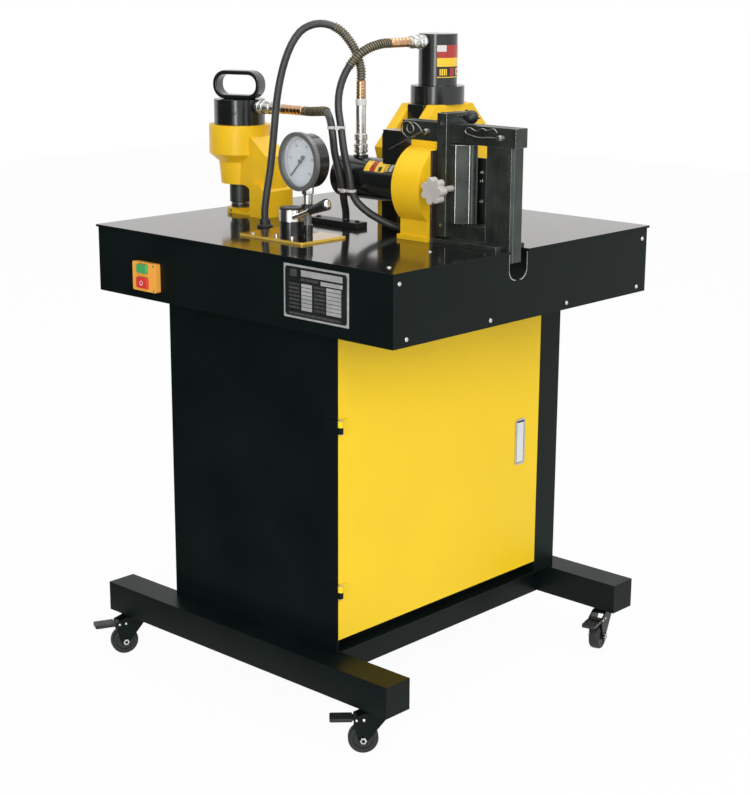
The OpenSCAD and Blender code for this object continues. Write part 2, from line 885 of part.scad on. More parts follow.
module latch_paddle() {
    w = tray_w / 2 - tray_lip - tray_t - paddle_side;
    low = tray_z - tray_h / 2 + tray_lip + tray_t + paddle_side;
    color(silver) difference() {
        union() {
            block([paddle_x - 1, tray_y - w, low], [paddle_x - 1 + paddle_t, tray_y + w, paddle_z]);
            rod_y([paddle_x, tray_y - w, paddle_z], paddle_hub_r, 2 * w);
        }
        rod_y([paddle_x, tray_y - w - 1, paddle_z], paddle_pin_r + run_fit, 2 * w + 2);
    }
}

// Table
module table_skirt() {
    x = skirt_x;
    y = skirt_y;
    color(black) difference() {
        block([-x, -y, skirt_z], [x, y, top_z]);
        block([-x + skirt_t, -y + skirt_t, skirt_z + skirt_t], [x - skirt_t, y - skirt_t, top_z + 1]);
        block([-x + skirt_lip, -y + skirt_lip, skirt_z - 1], [x - skirt_lip, y - skirt_lip, top_z]);
        block([x - skirt_lip, bend_y - slot_w / 2, top_z - notch_h],
              [x + 1, bend_y + slot_w / 2, top_z + 1]);
        for (s = skirt_screws) {
            rod_x([x - skirt_t - 1, s.x, s.y], screw_r + hole_fit, skirt_t + 2);
        }
    }
}
module table_top() {
    x = table_l / 2;
    y = table_w / 2;
    hole = gland_stem_r + hole_fit;
    color(black) difference() {
        block([-x, -y, top_z], [x, y, table_h]);
        block([die_x - slot_in, bend_y - slot_w / 2, top_z - 1], [x + 1, bend_y + slot_w / 2, table_h + 1]);
        for (s = concat(plate_screws, table_screws)) {
            rod_z([s.x, s.y, top_z - 1], screw_r + hole_fit, top_t + 2);
        }
        for (g = [gland_at, [-25, strip_at.y], [-75, strip_at.y], elbow_at]) {
            rod_z([g.x, g.y, top_z - 1], hole, top_t + 2);
        }
        rod_z([punch_x, punch_y, top_z - 1], slug_r, top_t + 2);
    }
}
module screw_up(at) {
    rod_z(at - [0, 0, screw_l], screw_r, screw_l);
    rod_z(at, screw_head_r, screw_head_h);
}
module screws() {
    color(silver) {
        for (s = skirt_screws) {
            rod_x([skirt_x - screw_l, s.x, s.y], screw_r, screw_l);
            rod_x([skirt_x, s.x, s.y], screw_head_r, screw_head_h);
        }
        for (s = plate_screws) {
            screw_up([s.x, s.y, valve_base]);
        }
        for (s = table_screws) {
            screw_up([s.x, s.y, table_h]);
        }
    }
}

// Switch panel
module button_shape(w, h) {
    rotate([90, 0, 0]) linear_extrude(button_l) round_rect(w, h, 3);
}
module pocket(w, h, z) {
    translate([button_x, -skirt_y - box_d + pocket_d, z]) rotate([90, 0, 0]) {
        linear_extrude(pocket_d + 1) round_rect(w + 2 * slide_gap, h + 2 * slide_gap, 3 + slide_gap);
    }
}
module switch_box() {
    color(orange) difference() {
        union() {
            translate([box_x, -skirt_y, box_z]) rotate([90, 0, 0]) linear_extrude(box_d) {
                round_rect(box_w, box_h, 4);
            }
            block([box_x - box_w / 2 - box_tab, -skirt_y - 3, box_z - 6],
                  [box_x - box_w / 2 + 1, -skirt_y, box_z + 6]);
        }
        pocket(start_w, start_h, start_z);
        pocket(stop_w, stop_h, stop_z);
    }
}
module start_button() {
    color([0.1, 0.55, 0.2]) translate([button_x, -skirt_y - box_d - button_up + button_l, start_z]) {
        button_shape(start_w, start_h);
    }
}
module stop_button() {
    color([0.8, 0.1, 0.08]) translate([button_x, -skirt_y - box_d - button_up + button_l, stop_z]) {
        button_shape(stop_w, stop_h);
    }
}
module nameplate() {
    color(silver) translate([plate_x, -skirt_y, plate_z]) rotate([90, 0, 0]) {
        linear_extrude(plate_t) square([plate_w, plate_h], center = true);
    }
}

// Valve
module valve_plate() {
    color([0.5, 0.45, 0.3]) difference() {
        translate([valve_x, valve_y, table_h]) linear_extrude(valve_plate_t) {
            round_rect(valve_plate_l, valve_plate_w, 4);
        }
        for (s = plate_screws) {
            rod_z([s.x, s.y, table_h - 1], screw_r + hole_fit, valve_plate_t + 2);
        }
    }
}
module valve_body() {
    color(black) {
        rod_z([valve_at.x, valve_at.y, valve_base], valve_r, valve_h);
        rod_z([valve_at.x, valve_at.y, valve_base], spindle_r, valve_h + cap_h - 4);
        block([valve_at.x, stem_at.y - port_r, valve_base + 2],
              [stem_at.x, stem_at.y + port_r, valve_base + 16]);
        rod_z([stem_at.x, stem_at.y, valve_base], port_r, port_h);
    }
}
module at_lever() {
    translate([valve_at.x + lever_root, valve_at.y - lever_off, lever_z]) {
        rotate([0, 90 - lever_slope, 0]) children();
    }
}
module valve_lever() {
    color(silver) difference() {
        union() {
            rod_z([valve_at.x, valve_at.y, cap_z], valve_r + 1, cap_h);
            at_lever() cylinder(r = lever_r, h = lever_l);
        }
        rod_z([valve_at.x, valve_at.y, cap_z - 1], spindle_r + run_fit, cap_h - 3);
    }
}
module lever_grip() {
    color(black) at_lever() difference() {
        translate([0, 0, lever_l - grip_l]) cylinder(r1 = lever_r + 2, r2 = grip_r, h = grip_l + 2);
        translate([0, 0, lever_l - grip_l - 1]) cylinder(r = lever_r + run_fit, h = grip_l + 1);
    }
}

// Gauge, drawn with its axis on Z, its back at 0 and its face upwards
module at_gauge() {
    translate([stem_at.x, stem_at.y, gauge_z]) rotate(gauge_yaw) rotate([90, 0, 0]) {
        translate([0, 0, gauge_back]) children();
    }
}
module gauge_case() {
    face = gauge_depth;
    color(silver) {
        difference() {
            union() {
                at_gauge() cylinder(r = case_r, h = face);
                at_gauge() translate([0, 0, face - bezel_h]) cylinder(r = gauge_r, h = bezel_h);
                rod_z([stem_at.x, stem_at.y, valve_base + port_h], stem_r,
                      gauge_z - case_r + 6 - valve_base - port_h);
            }
            at_gauge() translate([0, 0, face - dial_in]) {
                cylinder(r = case_r - 1, h = dial_in - glass_in);
            }
            at_gauge() translate([0, 0, face - glass_in - 1]) {
                cylinder(r = case_r - 1 - glass_lip, h = glass_in + 2);
            }
        }
        at_gauge() translate([0, 0, face - dial_in - 1]) cylinder(r = needle_pin_r, h = spindle_in + 1);
    }
}
module gauge_needle() {
    color([0.05, 0.05, 0.05]) at_gauge() translate([0, 0, gauge_depth - dial_in + 1.5]) difference() {
        union() {
            cylinder(r = needle_hub_r, h = needle_t + 1);
            rotate(225) translate([-needle_tail, -needle_w / 2, 0]) {
                cube([needle_tail + needle_tip, needle_w, needle_t]);
            }
        }
        translate([0, 0, -1]) cylinder(r = needle_pin_r + run_fit, h = needle_t + 3);
    }
}
module gauge_glass() {
    color([0.85, 0.9, 0.92]) at_gauge() translate([0, 0, gauge_depth - glass_in - glass_t]) {
        cylinder(r = case_r - 1 - run_fit, h = glass_t);
    }
}

// Punch, drawn with its axis on Z and the table at 0
module at_punch() {
    translate([punch_x, punch_y, table_h]) children();
}
module jaw_outline() {
    difference() {
        polygon([[0, 0], [spine_x, 0], [spine_x, barrel_low], [barrel_r, barrel_top - 20],
                 [0, barrel_top - 20]]);
        polygon([[-1, jaw_t], [throat, jaw_t], [throat, throat_h - throat_r],
                 [throat - throat_r, throat_h - throat_r], [throat - throat_r, throat_h],
                 [-1, throat_h]]);
        translate([throat - throat_r, throat_h - throat_r]) circle(r = throat_r);
    }
}
module punch_frame() {
    color(yellow) at_punch() difference() {
        union() {
            translate([0, jaw_w / 2, 0]) rotate([90, 0, 0]) linear_extrude(jaw_w) jaw_outline();
            rod_z([0, 0, 0], jaw_w / 2, jaw_t);
            translate([heel_x, heel_w / 2, 0]) rotate([90, 0, 0]) linear_extrude(heel_w) {
                polygon([[0, 0], [heel_end - heel_x, 0], [heel_end - heel_x, heel_h - heel_slope],
                         [heel_end - heel_x - heel_slope, heel_h], [0, heel_h]]);
            }
            rod_z([0, 0, barrel_low], barrel_r, barrel_top - barrel_low);
            translate([0, 0, barrel_low - neck_h]) cylinder(r1 = neck_r, r2 = barrel_r, h = neck_h);
            translate([0, 0, throat_h]) {
                cylinder(r1 = neck_low_r, r2 = neck_r, h = barrel_low - neck_h - throat_h);
            }
        }
        rod_z([0, 0, throat_h - 1], ram_r + run_fit, chamber_floor - throat_h + 2);
        rod_z([0, 0, chamber_floor], piston_r + run_fit, barrel_top - chamber_floor + 1);
        rod_z([0, 0, -1], slug_r, jaw_t + 2);
    }
}
module punch_cylinder() {
    color(black) at_punch() difference() {
        union() {
            rod_z([0, 0, barrel_top], punch_cyl_r, punch_cyl_h);
            rod_x([0, 0, port_up], port_boss_r, punch_cyl_r + 2);
        }
        rod_z([0, 0, barrel_top - 1], piston_r + run_fit, cyl_bore_h - 4);
    }
}
module punch_ram() {
    color(dark_steel) at_punch() {
        rod_z([0, 0, ram_low], ram_r, piston_z - ram_low + 1);
        rod_z([0, 0, piston_z], piston_r, piston_h);
        rod_z([0, 0, tip_low], tip_r, ram_low - tip_low + 1);
    }
}
module punch_die() {
    color(dark_steel) at_punch() difference() {
        rod_z([0, 0, jaw_t], die_r, die_h);
        rod_z([0, 0, jaw_t - 1], die_bore, die_h + 2);
    }
}
module punch_ring() {
    color(black) at_punch() translate([0, 0, barrel_top + punch_cyl_h + ring_h / 2]) {
        rotate([90, 0, ring_turn]) translate([0, 0, -ring_d / 2]) linear_extrude(ring_d) {
            difference() {
                round_rect(ring_w, ring_h, ring_r);
                round_rect(ring_w - 2 * ring_t, ring_h - 2 * ring_t, ring_r - ring_t);
            }
        }
    }
}

// Bender
module bender_body() {
    z = table_h;
    w = pedestal_w / 2;
    color(yellow) difference() {
        union() {
            rod_x([body_x, bend_y, axis_z], boss_r, body_l);
            block([body_x, bend_y - w, z], [body_end, bend_y + w, axis_z]);
            block([body_x - lip_l, bend_y - w - lip_out, z], [body_end, bend_y + w + lip_out, z + lip_h]);
            block([body_x, bend_y - saddle_w / 2, axis_z], [body_end, bend_y + saddle_w / 2, z + tool_top]);
            block([body_pin_x - tenon_l / 2, bend_y - tenon_w / 2, axis_z],
                  [body_pin_x + tenon_l / 2, bend_y + tenon_w / 2, z + tool_top + tenon_h]);
        }
        rod_x([body_x - 1, bend_y, axis_z], bend_rod_r + run_fit, body_l + 2);
        rod_y([body_pin_x, bend_y - bar_w, z + pin_z], pin_r + run_fit, 2 * bar_w);
    }
}
module bender_cylinder() {
    bore = bend_cyl_r - bend_cyl_wall + run_fit;
    color(black) difference() {
        union() {
            rod_x([cyl_x, bend_y, axis_z], bend_cyl_r, bend_cyl_l);
            rod_z([bend_port_x, bend_y, axis_z + bend_cyl_r - 6], port_boss_r + 3, 9);
            block([bend_lug_x, bend_y - saddle_w / 2, axis_z + bend_cyl_r - 8],
                  [bend_lug_x + bend_lug_l, bend_y + saddle_w / 2, table_h + bend_lug_top]);
        }
        rod_x([cyl_x + cyl_cap, bend_y, axis_z], bore, bend_cyl_l);
        block([bar_x - slide_gap, bend_y - saddle_w, table_h + tool_top],
              [body_end, bend_y + saddle_w, table_h + tool_top + bar_h]);
    }
}
module bender_ram() {
    color(silver) {
        rod_x([piston_x, bend_y, axis_z], bend_cyl_r - bend_cyl_wall, bend_piston_l);
        rod_x([piston_x, bend_y, axis_z], bend_rod_r, slide_x - piston_x);
    }
}
module bender_slide() {
    w = slide_w / 2;
    b = bar_w / 2 + slide_gap;
    z = table_h;
    color(dark_steel) {
        difference() {
            block([slide_x, bend_y - w, z + slide_low], [slide_face, bend_y + w, z + slide_top]);
            block([slide_x - 1, bend_y - b, z + tool_top - slide_gap],
                  [slide_face + 1, bend_y + b, z + tool_top + bar_h + slide_gap]);
            block([slide_x - 1, bend_y - b, z], [slide_face + 1, bend_y + b, z + low_bar_top + slide_gap]);
        }
        rod_x([slide_face - 1, bend_y, stop_rod_z], stop_rod_r, stop_rod_l + 1);
    }
}
module bender_mandrel() {
    nose = mandrel_l - nose_w / 2;
    color(dark_steel) difference() {
        translate([slide_face, bend_y, table_h + mandrel_low]) {
            linear_extrude(mandrel_top - mandrel_low) {
                polygon([[0, -mandrel_w / 2], [mandrel_base, -mandrel_w / 2], [nose, -nose_w / 2],
                         [nose, nose_w / 2], [mandrel_base, mandrel_w / 2], [0, mandrel_w / 2]]);
                translate([nose, 0]) circle(r = nose_w / 2);
            }
        }
        rod_y([knob_x, bend_y - mandrel_w / 2 - 1, knob_z], knob_stem_r + run_fit, knob_stem_in + 3);
    }
}
module bender_die() {
    w = bar_w / 2;
    z = table_h;
    c = 4;
    color(dark_steel) difference() {
        union() {
            translate([die_x, bend_y, z - bend_die_down]) linear_extrude(tool_top + bend_die_down) {
                polygon([[0, -w], [bend_die_l - c, -w], [bend_die_l, -w + c], [bend_die_l, w - c],
                         [bend_die_l - c, w], [0, w]]);
            }
            block([die_pin_x - tenon_l / 2, bend_y - tenon_w / 2, z + tool_top - 1],
                  [die_pin_x + tenon_l / 2, bend_y + tenon_w / 2, z + tool_top + tenon_h]);
        }
        translate([die_x, bend_y, z + low_bar_top]) rotate(45) {
            translate([-7, -7, 0]) cube([14, 14, tool_top - low_bar_top - 10]);
        }
        rod_y([die_pin_x, bend_y - bar_w, z + pin_z], pin_r + run_fit, 2 * bar_w);
    }
}
module tenon_slot(x) {
    block([x - tenon_l / 2 - face_gap, bend_y - tenon_w / 2 - face_gap, table_h + tool_top - 1],
          [x + tenon_l / 2 + face_gap, bend_y + tenon_w / 2 + face_gap, table_h + tool_top + tenon_h + 1]);
}
module bender_top_bar() {
    color(dark_steel) difference() {
        block([bar_x, bend_y - bar_w / 2, table_h + tool_top],
              [bar_x + bar_l, bend_y + bar_w / 2, table_h + tool_top + bar_h]);
        tenon_slot(body_pin_x);
        tenon_slot(die_pin_x);
        for (x = [body_pin_x, die_pin_x]) {
            rod_y([x, bend_y - bar_w, table_h + pin_z], pin_r + run_fit, 2 * bar_w);
        }
    }
}
module bender_base() {
    b = bar_w / 2;
    z = table_h;
    color(dark_steel) difference() {
        union() {
            block([body_end, bend_y - base_w / 2, z], [base_end, bend_y + base_w / 2, z + base_t]);
            block([body_end + flange_t, bend_y - b, z], [die_x, bend_y + b, z + low_bar_top]);
            block([body_end, bend_y - flange_w / 2, z],
                  [body_end + flange_t, bend_y + flange_w / 2, z + flange_top]);
        }
        block([die_x, bend_y - b - face_gap, z - 1], [base_end + 1, bend_y + b + face_gap, z + base_t + 1]);
        rod_x([body_end - 1, bend_y, axis_z], bend_rod_r + slide_gap, flange_t + 2);
    }
}
module locking_pin(x) {
    y0 = bend_y - bar_w / 2 - pin_reach;
    y1 = bend_y + bar_w / 2;
    hole_y = y0 + clip_hole_in;
    z = table_h + pin_z;
    difference() {
        union() {
            rod_y([x, y0, z], pin_r, y1 - y0 + 1);
            rod_y([x, y1, z], pin_head_r, pin_head_t);
        }
        rod_x([x - pin_r - 1, hole_y, z], clip_r + hole_fit, 2 * pin_r + 2);
    }
    rod_x([x - clip_leg, hole_y, z], clip_r, clip_leg + pin_r + 3);
    translate([x - clip_leg, hole_y, z + clip_loop_r]) rotate([90, 0, 0]) {
        rotate([0, 0, 90]) rotate_extrude(angle = 180) translate([clip_loop_r, 0]) circle(r = clip_r);
    }
    rod_x([x - clip_leg, hole_y, z + 2 * clip_loop_r], clip_r, clip_leg - 4);
}
module bender_pins() {
    color(silver) {
        locking_pin(body_pin_x);
        locking_pin(die_pin_x);
    }
}
module bender_knob() {
    y = bend_y - knob_out - knob_t / 2;
    inner_y = bend_y - mandrel_w / 2 + knob_stem_in;
    color(silver) {
        rod_y([knob_x, y, knob_z], knob_r - lobe_r + 1, knob_t);
        for (i = [0 : knob_lobes - 1]) {
            a = 360 * i / knob_lobes;
            rod_y([knob_x + (knob_r - lobe_r) * cos(a), y, knob_z + (knob_r - lobe_r) * sin(a)],
                  lobe_r, knob_t);
        }
        rod_y([knob_x, y + 1, knob_z], knob_stem_r, inner_y - y - 1);
    }
}
module bender_stop() {
    z = table_h + tool_top + bar_h;
    color(black) difference() {
        block([rest_x, bend_y - rest_w / 2, z + slide_gap],
              [rest_x + rest_l, bend_y + rest_w / 2, z + rest_h]);
        rod_x([rest_x - 1, bend_y, stop_rod_z], stop_rod_r + run_fit, rest_l + 2);
    }
}

// Cutter, drawn with its axis on Z and the table at 0
module at_cutter() {
    translate([cut_x, cut_y, table_h]) children();
}
module cutter_outline() {
    difference() {
        polygon([[-cut_foot, 0], [cut_foot, 0], [cut_foot, waist_z], [cut_wide, shoulder_z],
                 [cut_top, cut_h], [-cut_top, cut_h], [-cut_wide, shoulder_z], [-cut_foot, waist_z]]);
        translate([0, (window_low + window_top) / 2]) {
            round_rect(2 * window_w, window_top - window_low, 8);
        }
    }
}
module cutter_plate(x) {
    color(yellow) at_cutter() translate([x, 0, 0]) rotate([90, 0, 90]) {
        linear_extrude(cut_plate_t) cutter_outline();
    }
}
module cutter_plate_1() {
    cutter_plate(-cut_gap / 2 - cut_plate_t);
}
module cutter_plate_2() {
    cutter_plate(cut_gap / 2);
}
module cutter_blocks() {
    g = cut_gap / 2;
    w = cut_wide + guide_out;
    color(black) at_cutter() difference() {
        union() {
            block([-g, -w, 0], [g, w, window_low]);
            for (s = [-1, 1]) {
                translate([0, s * (w + window_w) / 2, 0]) {
                    translate([-g, -(w - window_w) / 2, 0]) cube([2 * g, w - window_w, guide_top]);
                }
            }
            block([-g, -centre_w, head_z], [g, centre_w, cut_h]);
            block([-g, -w, head_z], [g, w, guide_top]);
        }
        rod_z([0, 0, head_z - 1], cut_rod_r + run_fit, cut_h - head_z + 2);
    }
}
module cutter_cylinder() {
    z = cut_h;
    top = z + collar_h + cut_cyl_h;
    color(black) at_cutter() difference() {
        union() {
            rod_z([0, 0, z], collar_r, collar_h);
            rod_z([0, 0, z + collar_h], cut_cyl_r, cut_cyl_h);
            rod_y([0, -cut_cyl_r - 2, cut_port_up], port_boss_r, cut_cyl_r);
        }
        rod_z([0, 0, z - 1], cut_rod_r + run_fit, cut_gland + 2);
        rod_z([0, 0, z + cut_gland], cut_piston_r + run_fit, top - z - cut_gland - cut_cap);
    }
}
module cutter_ram() {
    color(dark_steel) at_cutter() {
        rod_z([0, 0, blade_top - 1], cut_rod_r, cut_piston_z - blade_top + 2);
        rod_z([0, 0, cut_piston_z], cut_piston_r, cut_piston_h);
        block([-blade_t / 2, -blade_w, window_top + 2], [blade_t / 2, blade_w, blade_top]);
        block([-4, -blade_w, window_top - 2], [4, blade_w, window_top + 3]);
    }
}

// Hoses and their fittings
module hose_bender() {
    color(rubber) hose(bender_route, hose_d / 2, hose_sides);
}
module hose_cutter() {
    color(rubber) hose(cutter_route, hose_d / 2, hose_sides);
}
module hose_punch() {
    color(rubber) hose(punch_route, hose_d / 2, hose_sides);
}
module fitting(coupling_l, ferrule_l) {
    color(silver) {
        cylinder(r = coupling_r - 3, h = coupling_l);
        translate([0, 0, 3]) cylinder(r = coupling_r, h = 16);
        translate([0, 0, 24]) cylinder(r = coupling_r, h = 12);
    }
    color(brass) translate([0, 0, coupling_l]) cylinder(r = ferrule_r, h = ferrule_l);
}
module gland_stem(at) {
    rod_z([at.x, at.y, top_z - gland_nut_h - 4], gland_stem_r, top_t + gland_nut_h + 5);
    rod_z([at.x, at.y, top_z - gland_nut_h], gland_nut_r, gland_nut_h);
}
module hose_fittings() {
    translate([bend_port_x, bend_y, axis_z + bend_cyl_r + 3]) {
        fitting(bender_route[len(bender_route) - 1].z - bender_ferrule - axis_z - bend_cyl_r - 3,
                bender_ferrule);
    }
    translate([punch_x + punch_cyl_r + 2, punch_y, table_h + port_up]) rotate([0, 90, 0]) {
        fitting(punch_route[0].x - punch_ferrule - punch_x - punch_cyl_r - 2, punch_ferrule);
    }
    translate([cut_x, cut_y - cut_cyl_r - 2, table_h + cut_port_up]) rotate([90, 0, 0]) {
        fitting(cut_y - cut_cyl_r - 2 - cutter_route[0].y - cutter_ferrule, cutter_ferrule);
    }
    color(black) {
        rod_z([gland_at.x, gland_at.y, table_h], 14, 4);
        rod_z([gland_at.x, gland_at.y, table_h], 10, gland_top - table_h);
        gland_stem(gland_at);
        block([strip_at.x - strip_l / 2, strip_at.y - strip_w / 2, table_h],
              [strip_at.x + strip_l / 2, strip_at.y + strip_w / 2, table_h + strip_h]);
        gland_stem([-25, strip_at.y]);
        gland_stem([-75, strip_at.y]);
    }
    color(silver) {
        block([elbow_at.x - elbow_w / 2, elbow_at.y - 12, table_h],
              [elbow_at.x + elbow_w / 2, elbow_at.y + 12, table_h + elbow_h]);
        gland_stem(elbow_at);
    }
}

// Power unit
module oil_tank() {
    high = [tank_x + tank_l, tank_y + tank_w, floor_z + tank_h];
    color(black) difference() {
        block([tank_x, tank_y, floor_z], high);
        block([tank_x + tank_wall, tank_y + tank_wall, floor_z + tank_wall],
              high - [tank_wall, tank_wall, tank_wall]);
        rod_z([tank_x + tank_l / 2, tank_y + tank_w - 50, high.z - tank_wall - 1], filler_r, tank_wall + 2);
    }
}
module motor() {
    z = floor_z + tank_h;
    color(dark_steel) {
        rod_z([motor_at.x, motor_at.y, z], motor_foot_r, motor_foot_t);
        rod_z([motor_at.x, motor_at.y, z], motor_r, motor_h);
        rod_z([motor_at.x, motor_at.y, z + motor_h - motor_cap_h], motor_cap_r, motor_cap_h);
        block([motor_at.x - terminal_w / 2, motor_at.y, z + 70],
              [motor_at.x + terminal_w / 2, motor_at.y + motor_r + terminal_d, z + 70 + terminal_h]);
    }
}

base_frame();
cabinet_shell();
door_frame();
table_skirt();
table_top();
screws();
nameplate();
switch_box();
start_button();
stop_button();
door();
hinge_pins();
latch_tray();
latch_paddle();
caster_fork(1);  // caster_fork_1
caster_fork(2);  // caster_fork_2
caster_fork(3);  // caster_fork_3
caster_fork(4);  // caster_fork_4
caster_wheel(1);  // caster_wheel_1
caster_wheel(2);  // caster_wheel_2
caster_wheel(3);  // caster_wheel_3
caster_wheel(4);  // caster_wheel_4
caster_pedal(1);  // caster_pedal_1
caster_pedal(2);  // caster_pedal_2
caster_pedal(3);  // caster_pedal_3
caster_pedal(4);  // caster_pedal_4
valve_plate();
valve_body();
valve_lever();
lever_grip();
gauge_case();
gauge_needle();
gauge_glass();
punch_frame();
punch_cylinder();
punch_ring();
punch_ram();
punch_die();
bender_body();
bender_cylinder();
bender_ram();
bender_slide();
bender_mandrel();
bender_die();
bender_top_bar();
bender_base();
bender_pins();
bender_knob();
bender_stop();
cutter_plate_1();
cutter_plate_2();
cutter_blocks();
cutter_cylinder();
cutter_ram();
hose_bender();
hose_cutter();
hose_punch();
hose_fittings();
oil_tank();
motor();
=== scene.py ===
"""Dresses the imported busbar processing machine: finishes, hoses, fittings, stage and camera."""

import json
import math

import bmesh
import bpy
from mathutils import Matrix, Vector


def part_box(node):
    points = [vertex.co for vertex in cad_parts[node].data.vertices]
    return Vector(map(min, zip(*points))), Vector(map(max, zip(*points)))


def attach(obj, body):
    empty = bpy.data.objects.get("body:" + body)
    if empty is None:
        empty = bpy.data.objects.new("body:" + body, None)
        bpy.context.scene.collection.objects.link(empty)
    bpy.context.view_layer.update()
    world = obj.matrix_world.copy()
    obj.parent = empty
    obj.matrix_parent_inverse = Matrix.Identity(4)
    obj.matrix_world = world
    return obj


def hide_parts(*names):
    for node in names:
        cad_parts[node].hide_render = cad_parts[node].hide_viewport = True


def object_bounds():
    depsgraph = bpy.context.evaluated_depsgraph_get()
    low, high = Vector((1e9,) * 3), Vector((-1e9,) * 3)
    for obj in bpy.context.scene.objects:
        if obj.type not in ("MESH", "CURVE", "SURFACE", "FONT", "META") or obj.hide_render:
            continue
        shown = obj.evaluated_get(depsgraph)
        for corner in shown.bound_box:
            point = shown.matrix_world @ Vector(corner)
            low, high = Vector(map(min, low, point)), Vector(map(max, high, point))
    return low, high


bl_info = {
    "name": "Busbar Processing Machine Dressing",
    "version": (1, 0, 0),
    "blender": (4, 5, 0),
    "location": "3D View > Sidebar > Machine",
    "description": "Finishes, hoses, fittings and stage for a busbar processing machine",
    "category": "Object",
}

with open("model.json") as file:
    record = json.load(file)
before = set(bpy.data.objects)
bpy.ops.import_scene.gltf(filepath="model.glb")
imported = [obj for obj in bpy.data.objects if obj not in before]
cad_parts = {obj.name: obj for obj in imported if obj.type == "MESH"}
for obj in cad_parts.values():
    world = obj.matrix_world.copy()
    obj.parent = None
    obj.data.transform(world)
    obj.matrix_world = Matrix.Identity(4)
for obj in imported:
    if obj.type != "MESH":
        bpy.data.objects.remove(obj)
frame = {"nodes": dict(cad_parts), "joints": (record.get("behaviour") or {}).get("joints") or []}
NODES = frame["nodes"]
CAD_LOW, CAD_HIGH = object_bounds()

UP = Vector((0.0, 0.0, 1.0))


# ---------------------------------------------------------------------------
# Sizes and colours that a user would change
# ---------------------------------------------------------------------------


def colour_setting(name, description, default):
    """A colour property with the usual subtype."""
    return bpy.props.FloatVectorProperty(
        name=name, description=description, subtype="COLOR", size=3, min=0.0, max=1.0, default=default
    )


def length_setting(name, description, default):
    """A length property in metres."""
    return bpy.props.FloatProperty(
        name=name, description=description, subtype="DISTANCE", unit="LENGTH", precision=5, default=default
    )


class MachineColours(bpy.types.PropertyGroup):
    """Colours of the machine's finishes."""

    table_black: colour_setting("Table black", "Gloss powder coat of the table top", (0.009, 0.012, 0.011))
    cabinet_black: colour_setting(
        "Cabinet black", "Satin powder coat of cabinet and feet", (0.004, 0.008, 0.0074),
    )
    tool_yellow: colour_setting("Tool yellow", "Enamel of punch, bender and cutter", (0.95, 0.575, 0.014))
    door_yellow: colour_setting("Door yellow", "Powder coat of the cabinet door", (0.92, 0.62, 0.014))
    cylinder_black: colour_setting(
        "Cylinder black", "Enamel of the hydraulic cylinders", (0.009, 0.011, 0.011),
    )
    black_oxide: colour_setting("Black oxide", "Oiled oxide on the bending tools", (0.045, 0.054, 0.048))
    bare_steel: colour_setting("Bare steel", "Worn edges and turned steel", (0.56, 0.56, 0.54))
    zinc: colour_setting("Zinc", "Plated couplings and screws", (0.62, 0.63, 0.60))
    ferrule: colour_setting("Ferrule", "Crimped hose ends", (0.60, 0.36, 0.20))
    hose_black: colour_setting("Hose", "Smooth hose cover", (0.035, 0.037, 0.035))
    guard_wire: colour_setting("Guard wire", "Spring guards on the hoses", (0.17, 0.145, 0.085))
    switch_orange: colour_setting("Switch box", "Moulded switch surround", (0.95, 0.42, 0.06))
    start_green: colour_setting("Start button", "Moulded start button", (0.07, 0.42, 0.13))
    stop_red: colour_setting("Stop button", "Moulded stop button", (0.72, 0.045, 0.035))
    dial: colour_setting("Dial", "Painted gauge dial", (0.62, 0.66, 0.72))


class MachineSizes(bpy.types.PropertyGroup):
    """Sizes of the fine details."""

    edge: length_setting("Edge radius", "Softened edge of machined pieces", 0.0008)
    sheet_edge: length_setting("Sheet edge", "Softened edge of folded sheet", 0.0012)
    cast_edge: length_setting("Casting edge", "Softened edge of the cast frames", 0.0022)
    hose: length_setting("Hose diameter", "Outside of the hoses", 0.013)
    guard: length_setting("Guard wire", "Diameter of the spring guard wire", 0.0026)
    guard_pitch: length_setting("Guard pitch", "Distance between guard turns", 0.0045)
    tie: length_setting("Tie width", "Width of the cable ties", 0.0046)


class MachineStage(bpy.types.PropertyGroup):
    """Light, floor and camera."""

    floor: colour_setting("Floor", "Plain pale floor", (0.86, 0.86, 0.86))
    whiteness: bpy.props.FloatProperty(
        name="Whiteness", description="Share of the floor that shows plain white", default=0.965,
        subtype="FACTOR", min=0.0, max=1.0,
    )
    sky: bpy.props.FloatProperty(name="Sky", description="World light on the object", default=0.5)
    key: bpy.props.FloatProperty(name="Key", description="Power of the large lamp on the right", default=64.0)
    fill: bpy.props.FloatProperty(
        name="Fill", description="Power of the tall lamp beside the camera", default=34.0,
    )
    top: bpy.props.FloatProperty(name="Top", description="Power of the lamp overhead", default=45.0)
    lens: bpy.props.FloatProperty(
        name="Lens", description="Focal length in mm on a 36 mm side", default=76.96,
    )


def colours():
    return bpy.context.scene.machine_colours


def sizes():
    return bpy.context.scene.machine_sizes


# ---------------------------------------------------------------------------
# Finishes
# ---------------------------------------------------------------------------


# Where the values of one noise lie, and those of two noises multiplied
NOISE_SPAN = (0.32, 0.68)
PRODUCT_SPAN = (0.12, 0.40)
LEAST_ROUGHNESS = 0.02
COAT_ROUGHNESS = 0.06


